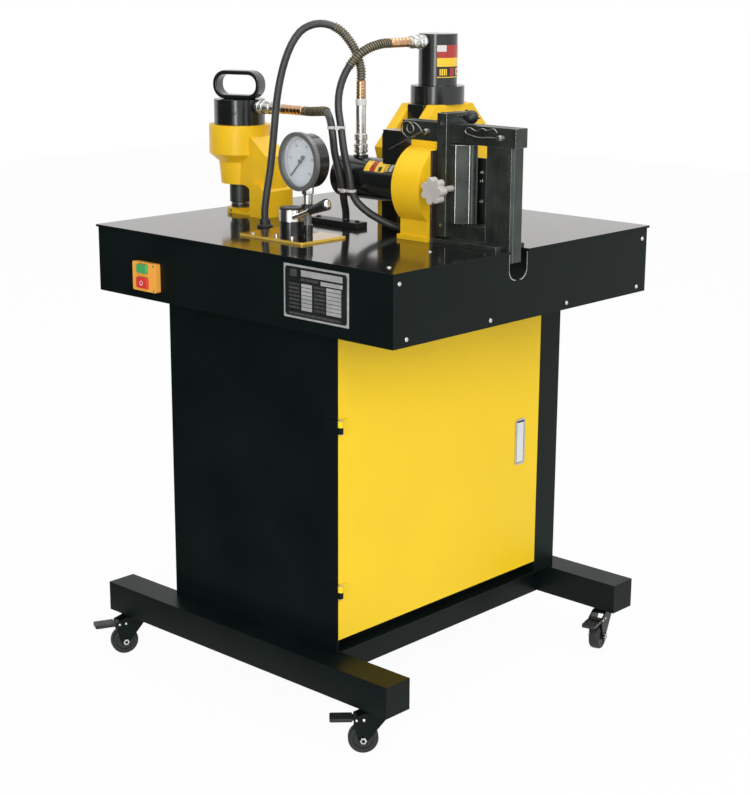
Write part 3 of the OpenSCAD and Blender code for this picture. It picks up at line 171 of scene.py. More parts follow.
def finish(
    name,
    colour,
    roughness,
    metallic=0.0,
    grain=180.0,
    stretch=(1.0, 1.0, 1.0),
    tone=0.10,
    spread=0.06,
    bump=0.05,
    depth=0.0002,
    coat=0.0,
    ior=1.5,
    cloud=9.0,
    shine=0.5,
):
    """A paint, metal or plastic: a fine grain drives height, a broad cloud drives tone and roughness."""
    title = f"{name}_finish"
    material = bpy.data.materials.get(title)
    if material:
        return material
    material = bpy.data.materials.new(title)
    material.use_nodes = True
    nodes, links = material.node_tree.nodes, material.node_tree.links
    shader = nodes["Principled BSDF"]
    shader.inputs["Metallic"].default_value = metallic
    shader.inputs["IOR"].default_value = ior
    shader.inputs["Specular IOR Level"].default_value = shine
    shader.inputs["Coat Weight"].default_value = coat
    shader.inputs["Coat Roughness"].default_value = COAT_ROUGHNESS
    place = nodes.new("ShaderNodeTexCoord")
    scale = nodes.new("ShaderNodeMapping")
    scale.inputs["Scale"].default_value = stretch
    links.new(place.outputs["Object"], scale.inputs["Vector"])
    broad = nodes.new("ShaderNodeTexNoise")
    broad.inputs["Scale"].default_value = cloud
    broad.inputs["Detail"].default_value = 5.0
    links.new(place.outputs["Object"], broad.inputs["Vector"])
    fine = nodes.new("ShaderNodeTexNoise")
    fine.inputs["Scale"].default_value = grain
    fine.inputs["Detail"].default_value = 3.0
    links.new(scale.outputs["Vector"], fine.inputs["Vector"])
    tones = nodes.new("ShaderNodeValToRGB")
    for stop, position, share in zip(tones.color_ramp.elements, NOISE_SPAN, (1 - tone, 1 + tone)):
        stop.position = position
        stop.color = [min(1.0, c * share) for c in colour] + [1.0]
    links.new(broad.outputs["Fac"], tones.inputs["Fac"])
    links.new(tones.outputs["Color"], shader.inputs["Base Color"])
    both = nodes.new("ShaderNodeMath")
    both.operation = "MULTIPLY"
    links.new(broad.outputs["Fac"], both.inputs[0])
    links.new(fine.outputs["Fac"], both.inputs[1])
    rough = nodes.new("ShaderNodeMapRange")
    rough.inputs["From Min"].default_value, rough.inputs["From Max"].default_value = PRODUCT_SPAN
    rough.inputs["To Min"].default_value = max(LEAST_ROUGHNESS, roughness - spread)
    rough.inputs["To Max"].default_value = min(1.0, roughness + spread)
    links.new(both.outputs["Value"], rough.inputs["Value"])
    links.new(rough.outputs["Result"], shader.inputs["Roughness"])
    height = nodes.new("ShaderNodeBump")
    height.inputs["Strength"].default_value = bump
    height.inputs["Distance"].default_value = depth
    links.new(fine.outputs["Fac"], height.inputs["Height"])
    links.new(height.outputs["Normal"], shader.inputs["Normal"])
    return material


def table_black():
    """Gloss powder coat that mirrors what stands on it, a little warmer than it is."""
    coat = finish(
        "table_black", colours().table_black, 0.10, grain=420, bump=0.03, spread=0.035, ior=1.95, tone=0.2,
    )
    coat.node_tree.nodes["Principled BSDF"].inputs["Specular Tint"].default_value = (0.96, 0.86, 0.73, 1.0)
    return coat


def satin_black():
    """Satin powder coat of the cabinet, the skirt and the feet."""
    return finish(
        "satin_black", colours().cabinet_black, 0.36, grain=900, bump=0.10, depth=0.0001, tone=0.16,
        shine=0.1,
    )


def tool_yellow():
    """Thick enamel on the castings."""
    return finish(
        "tool_yellow", colours().tool_yellow, 0.34, grain=260, bump=0.10, tone=0.06, cloud=14, shine=0.3,
    )


def door_yellow():
    """Fine powder coat on the door."""
    return finish(
        "door_yellow", colours().door_yellow, 0.40, grain=900, bump=0.08, depth=0.0001, tone=0.03, cloud=4,
        shine=0.25,
    )


def cylinder_black():
    """Gloss enamel on the cylinders."""
    return finish("cylinder_black", colours().cylinder_black, 0.20, grain=260, bump=0.02, coat=0.3, tone=0.2)


def black_oxide():
    """Oiled black steel with the grinder's marks along Z."""
    return finish(
        "black_oxide", colours().black_oxide, 0.38, metallic=0.55, grain=240, stretch=(1.0, 1.0, 0.12),
        tone=0.28, spread=0.12, bump=0.16, depth=0.0001, cloud=26,
    )


def painted_reflection_oxide():
    """The flange behind the slide: black oxide tinted brown, a painted reflection of the yellow body beside
    it.
    """
    return finish(
        "painted_reflection_oxide", (0.060, 0.040, 0.034), 0.42, metallic=0.5, grain=240, stretch=(1.0, 1.0, 0.2),
        tone=0.25, spread=0.10, bump=0.15, depth=0.0001,
    )


def bare_steel():
    """Steel that is worn or ground bright."""
    return finish(
        "bare_steel", colours().bare_steel, 0.30, metallic=1.0, grain=500, stretch=(1.0, 1.0, 0.2),
        tone=0.14, spread=0.10, bump=0.08, depth=0.0001,
    )


def turned_steel():
    """Polished turned steel of the valve's cap and the rods."""
    return finish(
        "turned_steel", (0.78, 0.78, 0.77), 0.16, metallic=1.0, grain=900, stretch=(1.0, 1.0, 3.0),
        tone=0.08, spread=0.06, bump=0.05, depth=0.00005,
    )


def bezel_steel():
    """Dark stainless ring and stem of the gauge."""
    return finish(
        "bezel_steel", (0.17, 0.17, 0.165), 0.34, metallic=0.35, grain=500, bump=0.04, cloud=30,
    )


def zinc():
    """Bright plating on couplings and screws."""
    return finish(
        "zinc", colours().zinc, 0.30, metallic=0.95, grain=700, tone=0.2, spread=0.12, bump=0.15, cloud=60,
    )


def ferrule():
    """Coppery plating on the crimped hose ends."""
    return finish(
        "ferrule", colours().ferrule, 0.22, metallic=1.0, grain=600, tone=0.18, spread=0.08, bump=0.06,
        cloud=50,
    )


def spring_wire():
    """Drawn wire of the pins' clips."""
    return finish(
        "spring_wire", (0.26, 0.26, 0.24), 0.36, metallic=1.0, grain=700, tone=0.15, spread=0.08, cloud=60,
    )


def cast_silver():
    """Rough cast metal of the star knob."""
    return finish(
        "cast_silver", (0.66, 0.62, 0.58), 0.46, metallic=0.35, grain=420, tone=0.08, spread=0.10,
        bump=0.25, cloud=40,
    )


def hose_cover():
    """Smooth black rubber."""
    return finish(
        "hose_cover", colours().hose_black, 0.40, grain=520, tone=0.2, spread=0.08, bump=0.12, cloud=30,
    )


def guard_wire():
    """Dull wire of the spring guards."""
    return finish(
        "guard_wire", colours().guard_wire, 0.40, metallic=0.5, grain=700, tone=0.3, spread=0.10, bump=0.10,
        cloud=120,
    )


def nylon():
    return finish("nylon", (0.72, 0.70, 0.68), 0.34, grain=600, tone=0.05, cloud=80)


def tyre():
    return finish(
        "tyre", (0.007, 0.0085, 0.0085), 0.62, grain=700, tone=0.25, spread=0.12, bump=0.3, cloud=40,
    )


def moulded_black():
    return finish(
        "moulded_black", (0.010, 0.011, 0.011), 0.44, grain=1100, tone=0.12, bump=0.2, depth=0.0001,
    )


def switch_orange():
    return finish("switch_orange", colours().switch_orange, 0.30, grain=900, tone=0.06, bump=0.06, coat=0.2)


def start_green():
    return finish("start_green", colours().start_green, 0.26, grain=900, tone=0.06, coat=0.3)


def stop_red():
    return finish("stop_red", colours().stop_red, 0.26, grain=900, tone=0.06, coat=0.3)


def dial_paint():
    return finish("dial_paint", colours().dial, 0.50, grain=700, tone=0.03, bump=0.02, cloud=20)


def ink():
    return finish("ink", (0.02, 0.02, 0.024), 0.50, grain=900, bump=0.02)


def plate_black():
    return finish("plate_black", (0.012, 0.013, 0.013), 0.30, grain=800, tone=0.2, bump=0.04)


def plate_silver():
    """The bare aluminium that shows round the nameplate and in its fields."""
    return finish(
        "plate_silver", (0.50, 0.51, 0.50), 0.42, metallic=0.4, grain=900, stretch=(1.0, 1.0, 6.0),
        tone=0.12, spread=0.08, bump=0.06, cloud=70,
    )


def plate_grey():
    """The nameplate's grey fields, mottled as a printed block is."""
    return finish(
        "plate_grey", (0.055, 0.058, 0.056), 0.45, metallic=0.1, grain=900, stretch=(1.0, 1.0, 6.0),
        tone=0.35, spread=0.08, bump=0.06, cloud=160,
    )


def sticker_yellow():
    return finish("sticker_yellow", (0.93, 0.60, 0.03), 0.28, grain=500, tone=0.05, bump=0.02, coat=0.2)


def sticker_red():
    return finish("sticker_red", (0.40, 0.028, 0.02), 0.28, grain=500, tone=0.12, bump=0.02, coat=0.2)


def mirror_plate():
    """The polished plate under the valve."""
    return finish(
        "mirror_plate", (0.46, 0.32, 0.17), 0.20, metallic=1.0, grain=160, stretch=(1.0, 0.15, 1.0),
        tone=0.14, bump=0.04, cloud=16,
    )


def brass_edge():
    return finish("brass_edge", (0.95, 0.60, 0.10), 0.32, metallic=0.2, grain=300, tone=0.16)


def motor_grey():
    return finish("motor_grey", (0.075, 0.085, 0.092), 0.45, grain=260, tone=0.12, bump=0.2)


def clear_glass():
    """Gauge glass: thin, so it shows only its gloss."""
    material = finish("clear_glass", (0.95, 0.97, 0.98), 0.05, grain=60, tone=0.01, spread=0.02, bump=0.01)
    material.node_tree.nodes["Principled BSDF"].inputs["Alpha"].default_value = 0.10
    return material


# ---------------------------------------------------------------------------
# Mesh code
# ---------------------------------------------------------------------------


def piece(name, mesh, body, slot, *materials, edge=0.0, segments=2, angle=30.0):
    """Makes a mesh an object that rides on a body, with softened edges and shading that follows its faces."""
    data = bpy.data.meshes.new(name)
    bmesh.ops.recalc_face_normals(mesh, faces=mesh.faces)
    mesh.to_mesh(data)
    mesh.free()
    made = bpy.data.objects.new(name, data)
    bpy.context.scene.collection.objects.link(made)
    for material in materials:
        data.materials.append(material)
    data.polygons.foreach_set("use_smooth", [True] * len(data.polygons))
    if edge:
        soften(made, edge, segments, angle)
    else:
        data.set_sharp_from_angle(angle=math.radians(angle))
    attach(made, body)
    return made


def soften(made, width, segments=2, angle=30.0, bare=False):
    """Rounds the sharp edges. With bare, the rounded strip takes the piece's second material."""
    bevel = made.modifiers.new("Softened edges", "BEVEL")
    bevel.width = width
    bevel.segments = segments
    bevel.limit_method = "ANGLE"
    bevel.angle_limit = math.radians(angle)
    bevel.use_clamp_overlap = True
    if bare:
        bevel.material = 1
    shade = made.modifiers.new("Face shading", "WEIGHTED_NORMAL")
    shade.keep_sharp = False


def dress(node, *materials, edge=None, segments=2, angle=32.0, bare=False):
    """Gives a CAD node its material and softened edges. Its own mesh stays as packed."""
    made = NODES[node]
    made.data.materials.clear()
    for material in materials:
        made.data.materials.append(material)
    made.data.polygons.foreach_set("use_smooth", [True] * len(made.data.polygons))
    made.data.polygons.foreach_set("material_index", [0] * len(made.data.polygons))
    weld = made.modifiers.new("Joined corners", "WELD")
    weld.merge_threshold = 0.000004
    flat = made.modifiers.new("Flat faces", "DECIMATE")
    flat.decimate_type = "DISSOLVE"
    flat.angle_limit = math.radians(0.4)
    soften(made, edge if edge is not None else sizes().edge, segments, angle, bare)
    return made


def along(point, direction, roll=0.0):
    """A matrix that puts local +Z along a direction at a point."""
    z = Vector(direction).normalized()
    helper = UP if abs(z.z) < 0.9 else Vector((1.0, 0.0, 0.0))
    x = helper.cross(z).normalized()
    y = z.cross(x)
    turn = Matrix((x, y, z)).transposed().to_4x4()
    return Matrix.Translation(Vector(point)) @ turn @ Matrix.Rotation(roll, 4, "Z")


def turned(mesh, profile, place, sides=48, material=0):
    """Adds a lathe shape: (radius, height) pairs turned round local Z. A radius of 0 closes an end."""
    rings = []
    for radius, height in profile:
        if radius <= 0.0:
            rings.append([mesh.verts.new(place @ Vector((0.0, 0.0, height)))])
            continue
        ring = []
        for k in range(sides):
            a = math.tau * k / sides
            ring.append(mesh.verts.new(place @ Vector((radius * math.cos(a), radius * math.sin(a), height))))
        rings.append(ring)
    for low, high in zip(rings, rings[1:]):
        for k in range(sides):
            n = (k + 1) % sides
            corners = [low[k % len(low)], low[n % len(low)], high[n % len(high)], high[k % len(high)]]
            corners = [v for i, v in enumerate(corners) if v not in corners[:i]]
            if len(corners) > 2:
                mesh.faces.new(corners).material_index = material
    return mesh


def prism(mesh, outline, depth, place, material=0):
    """Adds an outline in local XY, raised along local Z."""
    low = [mesh.verts.new(place @ Vector((x, y, 0.0))) for x, y in outline]
    high = [mesh.verts.new(place @ Vector((x, y, depth))) for x, y in outline]
    faces = [mesh.faces.new(low[::-1]), mesh.faces.new(high)]
    for k in range(len(outline)):
        n = (k + 1) % len(outline)
        faces.append(mesh.faces.new([low[k], low[n], high[n], high[k]]))
    for face in faces:
        face.material_index = material
    return mesh


def slab(mesh, low, high, material=0):
    """Adds a block between two corners."""
    (x0, y0, z0), (x1, y1, z1) = low, high
    return prism(
        mesh, [(x0, y0), (x1, y0), (x1, y1), (x0, y1)], z1 - z0, Matrix.Translation((0, 0, z0)), material,
    )


def rounded(width, height, radius, steps=5):
    """The outline of a rounded rectangle about the origin."""
    points = []
    for cx, cy, start in ((1, 1, 0), (-1, 1, 90), (-1, -1, 180), (1, -1, 270)):
        for k in range(steps + 1):
            a = math.radians(start + 90 * k / steps)
            points.append(
                (
                    cx * (width / 2 - radius) + radius * math.cos(a),
                    cy * (height / 2 - radius) + radius * math.sin(a),
                )
            )
    return points


def spline(points, steps=6):
    """Points on the smooth curve through a few points."""
    pts = [Vector(p) for p in points]
    ends = [pts[0] * 2 - pts[1], *pts, pts[-1] * 2 - pts[-2]]
    curve = []
    for a, b, c, d in zip(ends, ends[1:], ends[2:], ends[3:]):
        for k in range(steps):
            t = k / steps
            curve.append(
                0.5
                * (2 * b + (c - a) * t + (2 * a - 5 * b + 4 * c - d) * t * t + (3 * b - a - 3 * c + d) * t**3)
            )
    curve.append(pts[-1])
    return curve


def rails(path):
    """A place on every point of a path, with as little twist as it can have."""
    places = []
    side = None
    for k, point in enumerate(path):
        heading = (path[min(k + 1, len(path) - 1)] - path[max(k - 1, 0)]).normalized()
        if side is None:
            side = heading.orthogonal().normalized()
        side = (side - heading * side.dot(heading)).normalized()
        places.append((point, side.copy(), heading.cross(side)))
    return places


def swept(mesh, path, radius, sides=12, closed=False, material=0):
    """Adds a round tube along a path. radius is a number or one number a point."""
    places = rails(path)
    rings = []
    for k, (point, side, other) in enumerate(places):
        r = radius[k] if hasattr(radius, "__len__") else radius
        ring = []
        for n in range(sides):
            a = math.tau * n / sides
            ring.append(mesh.verts.new(point + side * (r * math.cos(a)) + other * (r * math.sin(a))))
        rings.append(ring)
    pairs = list(zip(rings, rings[1:]))
    if closed:
        pairs.append((rings[-1], rings[0]))
    for low, high in pairs:
        for n in range(sides):
            m = (n + 1) % sides
            mesh.faces.new([low[n], low[m], high[m], high[n]]).material_index = material
    if not closed:
        mesh.faces.new(rings[0][::-1]).material_index = material
        mesh.faces.new(rings[-1]).material_index = material
    return mesh


def helix_on(path, radius, pitch, start, end):
    """A wire's path wound round a curve between two distances along it."""
    lengths = [0.0]
    for a, b in zip(path, path[1:]):
        lengths.append(lengths[-1] + (b - a).length)
    places = rails(path)
    steps = max(8, int((end - start) / pitch * 12))
    wound = []
    k = 0
    for n in range(steps + 1):
        s = start + (end - start) * n / steps
        while k < len(lengths) - 2 and lengths[k + 1] < s:
            k += 1
        t = (s - lengths[k]) / max(1e-9, lengths[k + 1] - lengths[k])
        point = places[k][0].lerp(places[k + 1][0], t)
        side = places[k][1].lerp(places[k + 1][1], t).normalized()
        other = places[k][2].lerp(places[k + 1][2], t).normalized()
        a = math.tau * (s - start) / pitch
        wound.append(point + side * (radius * math.cos(a)) + other * (radius * math.sin(a)))
    return wound


# ---------------------------------------------------------------------------
# Places that several pieces share, in metres
# ---------------------------------------------------------------------------

TABLE_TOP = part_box("table_top")[1].z
BENDER_Y = (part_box("bender_die")[0].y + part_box("bender_die")[1].y) / 2
BENDER_Z = 0.884
BENDER_CYLINDER_RADIUS = 0.036
PUNCH_X, PUNCH_Y = -0.286, -0.052
PUNCH_CYLINDER_RADIUS = 0.0465
CUTTER_X, CUTTER_Y = 0.024, 0.140
CUTTER_CYLINDER_RADIUS = 0.0345
GAUGE_CENTRE = Vector((0.044, -0.207, 0.9295))
GAUGE_OUT = Vector((-math.sin(math.radians(4)), -math.cos(math.radians(4)), 0.0))
VALVE_AT = Vector((0.009, -0.210, TABLE_TOP + 0.004))
LEVER_ROOT = Vector((0.016, -0.221, 0.832))
LEVER_SLOPE = math.radians(21)
ELBOW_X = 0.130
FILLER_X, FILLER_Y = -0.058, 0.150
MOTOR_X, MOTOR_Y = -0.058, -0.040
FERRULE_LENGTHS = {"bender": 0.031, "punch": 0.050, "cutter": 0.048}
LABEL_LIFT = 0.00012

BENDER_ROUTE = [
    (-0.117, -0.152, 0.812), (-0.117, -0.152, 0.828), (-0.114, -0.149, 0.861), (-0.110, -0.145, 0.895),
    (-0.107, -0.142, 0.931), (-0.104, -0.139, 0.974), (-0.101, -0.136, 1.016), (-0.097, -0.131, 1.052),
    (-0.091, -0.125, 1.083), (-0.083, -0.117, 1.110), (-0.073, -0.107, 1.130), (-0.062, -0.096, 1.140),
    (-0.049, -0.083, 1.144), (-0.036, -0.070, 1.141), (-0.025, -0.059, 1.133), (-0.016, -0.049, 1.119),
    (-0.008, -0.041, 1.102), (-0.003, -0.036, 1.084), (0.0, -0.033, 1.066), (0.0, -0.033, 1.050),
]
CUTTER_ROUTE = [
    (0.024, 0.012, 1.111), (0.024, 0.0, 1.111), (0.022, -0.015, 1.109), (0.017, -0.031, 1.104),
    (0.011, -0.046, 1.095), (0.003, -0.057, 1.082), (-0.005, -0.065, 1.065), (-0.011, -0.071, 1.044),
    (-0.013, -0.075, 1.022), (-0.011, -0.077, 1.000), (-0.006, -0.078, 0.980), (-0.001, -0.079, 0.958),
    (0.004, -0.080, 0.935), (0.011, -0.080, 0.910), (0.018, -0.080, 0.888), (0.021, -0.078, 0.866),
    (0.029, -0.072, 0.846), (0.050, -0.061, 0.827), (0.077, -0.048, 0.813), (0.094, -0.034, 0.805),
    (0.107, -0.017, 0.804), (0.115, 0.0, 0.804), (0.122, 0.017, 0.804), (0.130, 0.035, 0.804),
    (0.130, 0.048, 0.804),
]
PUNCH_ROUTE = [
    (-0.120, -0.052, 0.991), (-0.104, -0.052, 0.991), (-0.080, -0.056, 0.993), (-0.056, -0.064, 0.995),
    (-0.037, -0.076, 0.992), (-0.022, -0.086, 0.983), (-0.013, -0.091, 0.968), (-0.010, -0.091, 0.950),
    (-0.009, -0.089, 0.930), (-0.006, -0.085, 0.908), (-0.002, -0.081, 0.884), (-0.002, -0.076, 0.862),
    (-0.011, -0.063, 0.842), (-0.020, -0.050, 0.826), (-0.025, -0.044, 0.814), (-0.025, -0.044, 0.807),
]


# ---------------------------------------------------------------------------
# Operators, one for each piece or group
# ---------------------------------------------------------------------------


def any_ray(nodes, links, kinds):
    """A value that is 1 for any of these kinds of ray and 0 for the others."""
    rays = nodes.new("ShaderNodeLightPath")
    value = rays.outputs[kinds[0]]
    for kind in kinds[1:]:
        either = nodes.new("ShaderNodeMath")
        either.operation = "MAXIMUM"
        links.new(value, either.inputs[0])
        links.new(rays.outputs[kind], either.inputs[1])
        value = either.outputs["Value"]
    return value


class MACHINE_OT_stage(bpy.types.Operator):
    """Adds the camera, floor, lamps and world"""

    bl_idname = "machine.stage"
    bl_label = "Stage and camera"

    def execute(self, context):
        settings = context.scene.machine_stage
        self.camera(context, settings)
        ground = Matrix.Translation((0.0, 0.0, CAD_LOW.z - 0.0002))
        floor = self.sheet("floor", ground, (7.0, 7.0), 8, self.floor_paint(settings))
        self.flags()
        self.lamps(settings)
        self.world(context, settings)
        context.scene.view_settings.view_transform = "Standard"
        return {"FINISHED"}

    def sheet(self, name, place, half_size, parts, material):
        """Adds a flat sheet of the stage in a place's own XY."""
        mesh = bmesh.new()
        bmesh.ops.create_grid(mesh, x_segments=parts, y_segments=parts, size=1.0)
        bmesh.ops.transform(mesh, matrix=place @ Matrix.Diagonal((*half_size, 1.0, 1.0)), verts=mesh.verts)
        data = bpy.data.meshes.new(name)
        mesh.to_mesh(data)
        mesh.free()
        data.materials.append(material)
        made = bpy.data.objects.new(name, data)
        bpy.context.scene.collection.objects.link(made)
        return made

    def camera(self, context, settings):
        """Stands the camera where it sees the closed side and the door side."""
        place = Vector((2.0207, -2.1844, 1.2504))
        yaw, pitch, roll = 42.69, -14.47, 0.29
        data = bpy.data.cameras.new("camera")
        data.lens = settings.lens
        data.sensor_width = 36.0
        camera = bpy.data.objects.new("camera", data)
        camera.matrix_world = (
            Matrix.Translation(place)
            @ Matrix.Rotation(math.radians(yaw), 4, "Z")
            @ Matrix.Rotation(math.radians(90.0 + pitch), 4, "X")
            @ Matrix.Rotation(math.radians(roll), 4, "Z")
        )
        context.scene.collection.objects.link(camera)
        context.scene.camera = camera

    def floor_paint(self, settings):
        """Pale paint that shows as white and keeps a share of the machine's shadow."""
        material = bpy.data.materials.new("floor_paint")
        material.use_nodes = True
        nodes, links = material.node_tree.nodes, material.node_tree.links
        paint = nodes["Principled BSDF"]
        paint.inputs["Base Color"].default_value = [*settings.floor, 1.0]
        paint.inputs["Roughness"].default_value = 0.9
        white = nodes.new("ShaderNodeEmission")
        white.inputs["Color"].default_value = (1.0, 1.0, 1.0, 1.0)
        white.inputs["Strength"].default_value = 1.0
        share = nodes.new("ShaderNodeMath")
        share.operation = "MULTIPLY"
        share.inputs[1].default_value = settings.whiteness
        links.new(any_ray(nodes, links, ("Is Camera Ray", "Is Glossy Ray")), share.inputs[0])
        mix = nodes.new("ShaderNodeMixShader")
        links.new(share.outputs["Value"], mix.inputs["Fac"])
        links.new(paint.outputs["BSDF"], mix.inputs[1])
        links.new(white.outputs["Emission"], mix.inputs[2])
        links.new(mix.outputs["Shader"], nodes["Material Output"].inputs["Surface"])
        return material

    def flags(self):
        """Two black cards before the front, seen only in reflections, that keep the front faces deep."""
        standing = Matrix.Rotation(math.radians(90.0), 4, "X")
        upright = Matrix.Translation((-1.7, -1.25, CAD_LOW.z + 0.9)) @ standing
        lying = Matrix.Translation((-1.5, -0.92, CAD_LOW.z + 0.001))
        for name, place, half_size in (
            ("upright_flag", upright, (1.7, 0.9)),
            ("lying_flag", lying, (1.8, 0.42)),
        ):
            card = self.sheet(name, place, half_size, 4, moulded_black())
            card.visible_camera = False
            card.visible_diffuse = False
            card.visible_shadow = False
            card.visible_transmission = False

    def lamps(self, settings):
        """Three soft lamps, each turned to the machine's middle."""
        middle = (CAD_LOW + CAD_HIGH) / 2
        lamps = (
            ("key", (3.2, -1.3, 2.6), settings.key, 2.6, 2.6),
            ("fill", (1.45, -3.1, 1.25), settings.fill, 0.7, 2.3),
            ("top", (0.2, 0.6, 3.6), settings.top, 2.8, 2.8),
        )
        for name, place, power, width, height in lamps:
            data = bpy.data.lights.new(name, "AREA")
            data.energy = power
            data.shape = "RECTANGLE"
            data.size = width
            data.size_y = height
            lamp = bpy.data.objects.new(name, data)
            lamp.location = place
            lamp.rotation_euler = (middle - Vector(place)).to_track_quat("-Z", "Y").to_euler()
            bpy.context.scene.collection.objects.link(lamp)

    def world(self, context, settings):
        """Even light on the machine, and plain white behind it and in its reflections."""
        world = bpy.data.worlds.new("studio")
        world.use_nodes = True
        context.scene.world = world
        nodes, links = world.node_tree.nodes, world.node_tree.links
        light = nodes["Background"]
        light.inputs["Color"].default_value = (1.0, 1.0, 1.0, 1.0)
        light.inputs["Strength"].default_value = settings.sky
        white = nodes.new("ShaderNodeBackground")
        white.inputs["Color"].default_value = (1.0, 1.0, 1.0, 1.0)
        white.inputs["Strength"].default_value = 1.0
        seen = any_ray(nodes, links, ("Is Camera Ray", "Is Glossy Ray", "Is Transmission Ray"))
        mix = nodes.new("ShaderNodeMixShader")
        links.new(seen, mix.inputs["Fac"])
        links.new(light.outputs["Background"], mix.inputs[1])
        links.new(white.outputs["Background"], mix.inputs[2])
        links.new(mix.outputs["Shader"], nodes["World Output"].inputs["Surface"])


def hose(name, route, guards, node):
    """A hose on its route with spring guards between distances from its ends."""
    diameter = sizes().hose
    wire = sizes().guard
    path = spline(route, 2)
    smooth = spline(route, 5)
    mesh = bmesh.new()
    swept(mesh, path, diameter / 2, 16)
    made = piece(name, mesh, "stand", "hose_rubber", hose_cover(), angle=60)
    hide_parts(node)
    whole = sum((b - a).length for a, b in zip(smooth, smooth[1:]))
    for number, (start, end) in enumerate(guards, 1):
        first = start if start >= 0 else whole + start
        last = end if end > 0 else whole + end
        guard = bmesh.new()
        turns = helix_on(smooth, diameter / 2 + wire / 4, sizes().guard_pitch, first, last)
        swept(guard, turns, wire / 2, 6)
        piece(f"{name}_guard_{number}", guard, "stand", "bright_steel", guard_wire(), angle=60)
    return made


class MACHINE_OT_hoses(bpy.types.Operator):
    """Adds the three hydraulic hoses with their spring guards"""

    bl_idname = "machine.hoses"
    bl_label = "Hoses"

    def execute(self, context):
        hose("hydraulic_hose_bender", BENDER_ROUTE, [(-0.106, -0.001)], "hose_bender")
        hose("hydraulic_hose_cutter", CUTTER_ROUTE, [(0.001, 0.092)], "hose_cutter")
        hose("hydraulic_hose_punch", PUNCH_ROUTE, [(0.001, 0.074)], "hose_punch")
        return {"FINISHED"}


class MACHINE_OT_ties(bpy.types.Operator):
    """Adds the nylon cable ties round the punch and cutter hoses"""

    bl_idname = "machine.ties"
    bl_label = "Cable ties"

    def execute(self, context):
        radius = sizes().hose / 2 + 0.0004
        for number, height in enumerate((0.972, 0.866), 1):
            self.tie(number, height, radius)
        return {"FINISHED"}

    def crossing(self, route, height):
        """Where a route passes a height on its way down to the table."""
        below_couplings = 1.03
        path = [p for p in spline(route, 5) if p.z < below_couplings]
        near = min(path, key=lambda p: abs(p.z - height))
        return Vector((near.x, near.y, height))

    def tie(self, number, height, radius):
        """One strap round both hoses, with its head and its cut tail."""
        a = self.crossing(PUNCH_ROUTE, height)
        b = self.crossing(CUTTER_ROUTE, height)
        reach = (b - a).normalized()
        side = UP.cross(reach)
        loop = []
        for centre, start in ((b, -90), (a, 90)):
            for k in range(13):
                angle = math.radians(start + 180 * k / 12)
                loop.append(centre + reach * (radius * math.cos(angle)) + side * (radius * math.sin(angle)))
        mesh = bmesh.new()
        half = sizes().tie / 2
        thick = 0.0011
        middle = (a + b) / 2
        rings = []
        for point in loop:
            centre = a if (point - a).length < (point - b).length else b
            out = (point - centre).normalized() * thick
            corners = (point - UP * half, point + out - UP * half, point + out + UP * half, point + UP * half)
            rings.append([mesh.verts.new(c) for c in corners])
        for ring, after in zip(rings, rings[1:] + rings[:1]):
            for k in range(4):
                n = (k + 1) % 4
                mesh.faces.new([ring[k], ring[n], after[n], after[k]])
        front = side if side.y < 0 else -side
        head = middle + front * (radius + 0.002)
        prism(mesh, rounded(0.008, 0.0064, 0.001), 0.005, along(head - front * 0.001, front))
        tail = [
            head + reach * 0.002,
            head + reach * 0.008 + front * 0.004,
            head + reach * 0.013 + front * 0.010,
        ]
        swept(mesh, spline(tail, 4), 0.0013, 6)
        piece(f"cable_tie_{number}", mesh, "stand", "plate_face", nylon(), edge=0.0003, angle=40)


def coupling(name, point, direction, length, collar=False):
    """A quick coupling with knurled sleeves and latch balls, then the crimped ferrule of the hose."""
    place = along(point, direction)
    mesh = bmesh.new()
    r = 0.012
    profile = [
        (0.0, 0.0), (0.0088, 0.0), (0.0088, 0.003), (r - 0.001, 0.0034), (r, 0.0044), (r, 0.0086),
        (r - 0.0012, 0.0094), (r - 0.0012, 0.0112), (r, 0.012), (r, 0.0178), (r - 0.001, 0.0188),
        (0.0092, 0.0192), (0.0092, 0.0238), (r - 0.002, 0.0242), (r - 0.0008, 0.0252), (r - 0.0008, 0.0348),
        (r - 0.002, 0.0358), (0.0086, 0.036), (0.0086, length), (0.0, length),
    ]
    turned(mesh, profile, place, 40)
    for row, count, ball, sunk in ((0.0148, 12, 0.0012, 0.0002), (0.0300, 14, 0.0010, 0.0010)):
        for k in range(count):
            a = math.tau * (k + row * 50) / count
            at = place @ Vector(((r - sunk) * math.cos(a), (r - sunk) * math.sin(a), row))
            bmesh.ops.create_icosphere(mesh, subdivisions=1, radius=ball, matrix=Matrix.Translation(at))
    made = piece(f"{name}_coupling", mesh, "stand", "bright_steel", zinc(), angle=35)
    if collar:
        white = bmesh.new()
        ring = [
            (0.0080, length - 0.012), (0.0094, length - 0.0112), (0.0096, length - 0.002),
            (0.0080, length - 0.0008),
        ]
        turned(white, ring, place, 40)
        piece(f"{name}_dust_collar", white, "stand", "plate_face", nylon(), angle=35)
    ferrule_length = FERRULE_LENGTHS[name]
    crimp = bmesh.new()
    shell = [(0.0, length), (0.0072, length), (0.0083, length + 0.0012)]
    steps = 5
    pitch = (ferrule_length - 0.004) / steps
    for k in range(steps):
        base = length + 0.0022 + pitch * k
        shell += [
            (0.0083, base), (0.0083, base + pitch * 0.62), (0.0079, base + pitch * 0.72),
            (0.0079, base + pitch * 0.9),
        ]
    shell += [
        (0.0083, length + ferrule_length - 0.001), (0.0074, length + ferrule_length),
        (0.0, length + ferrule_length),
    ]
    turned(crimp, shell, place, 40)
    piece(f"{name}_ferrule", crimp, "stand", "bright_steel", ferrule(), angle=35)
    return made


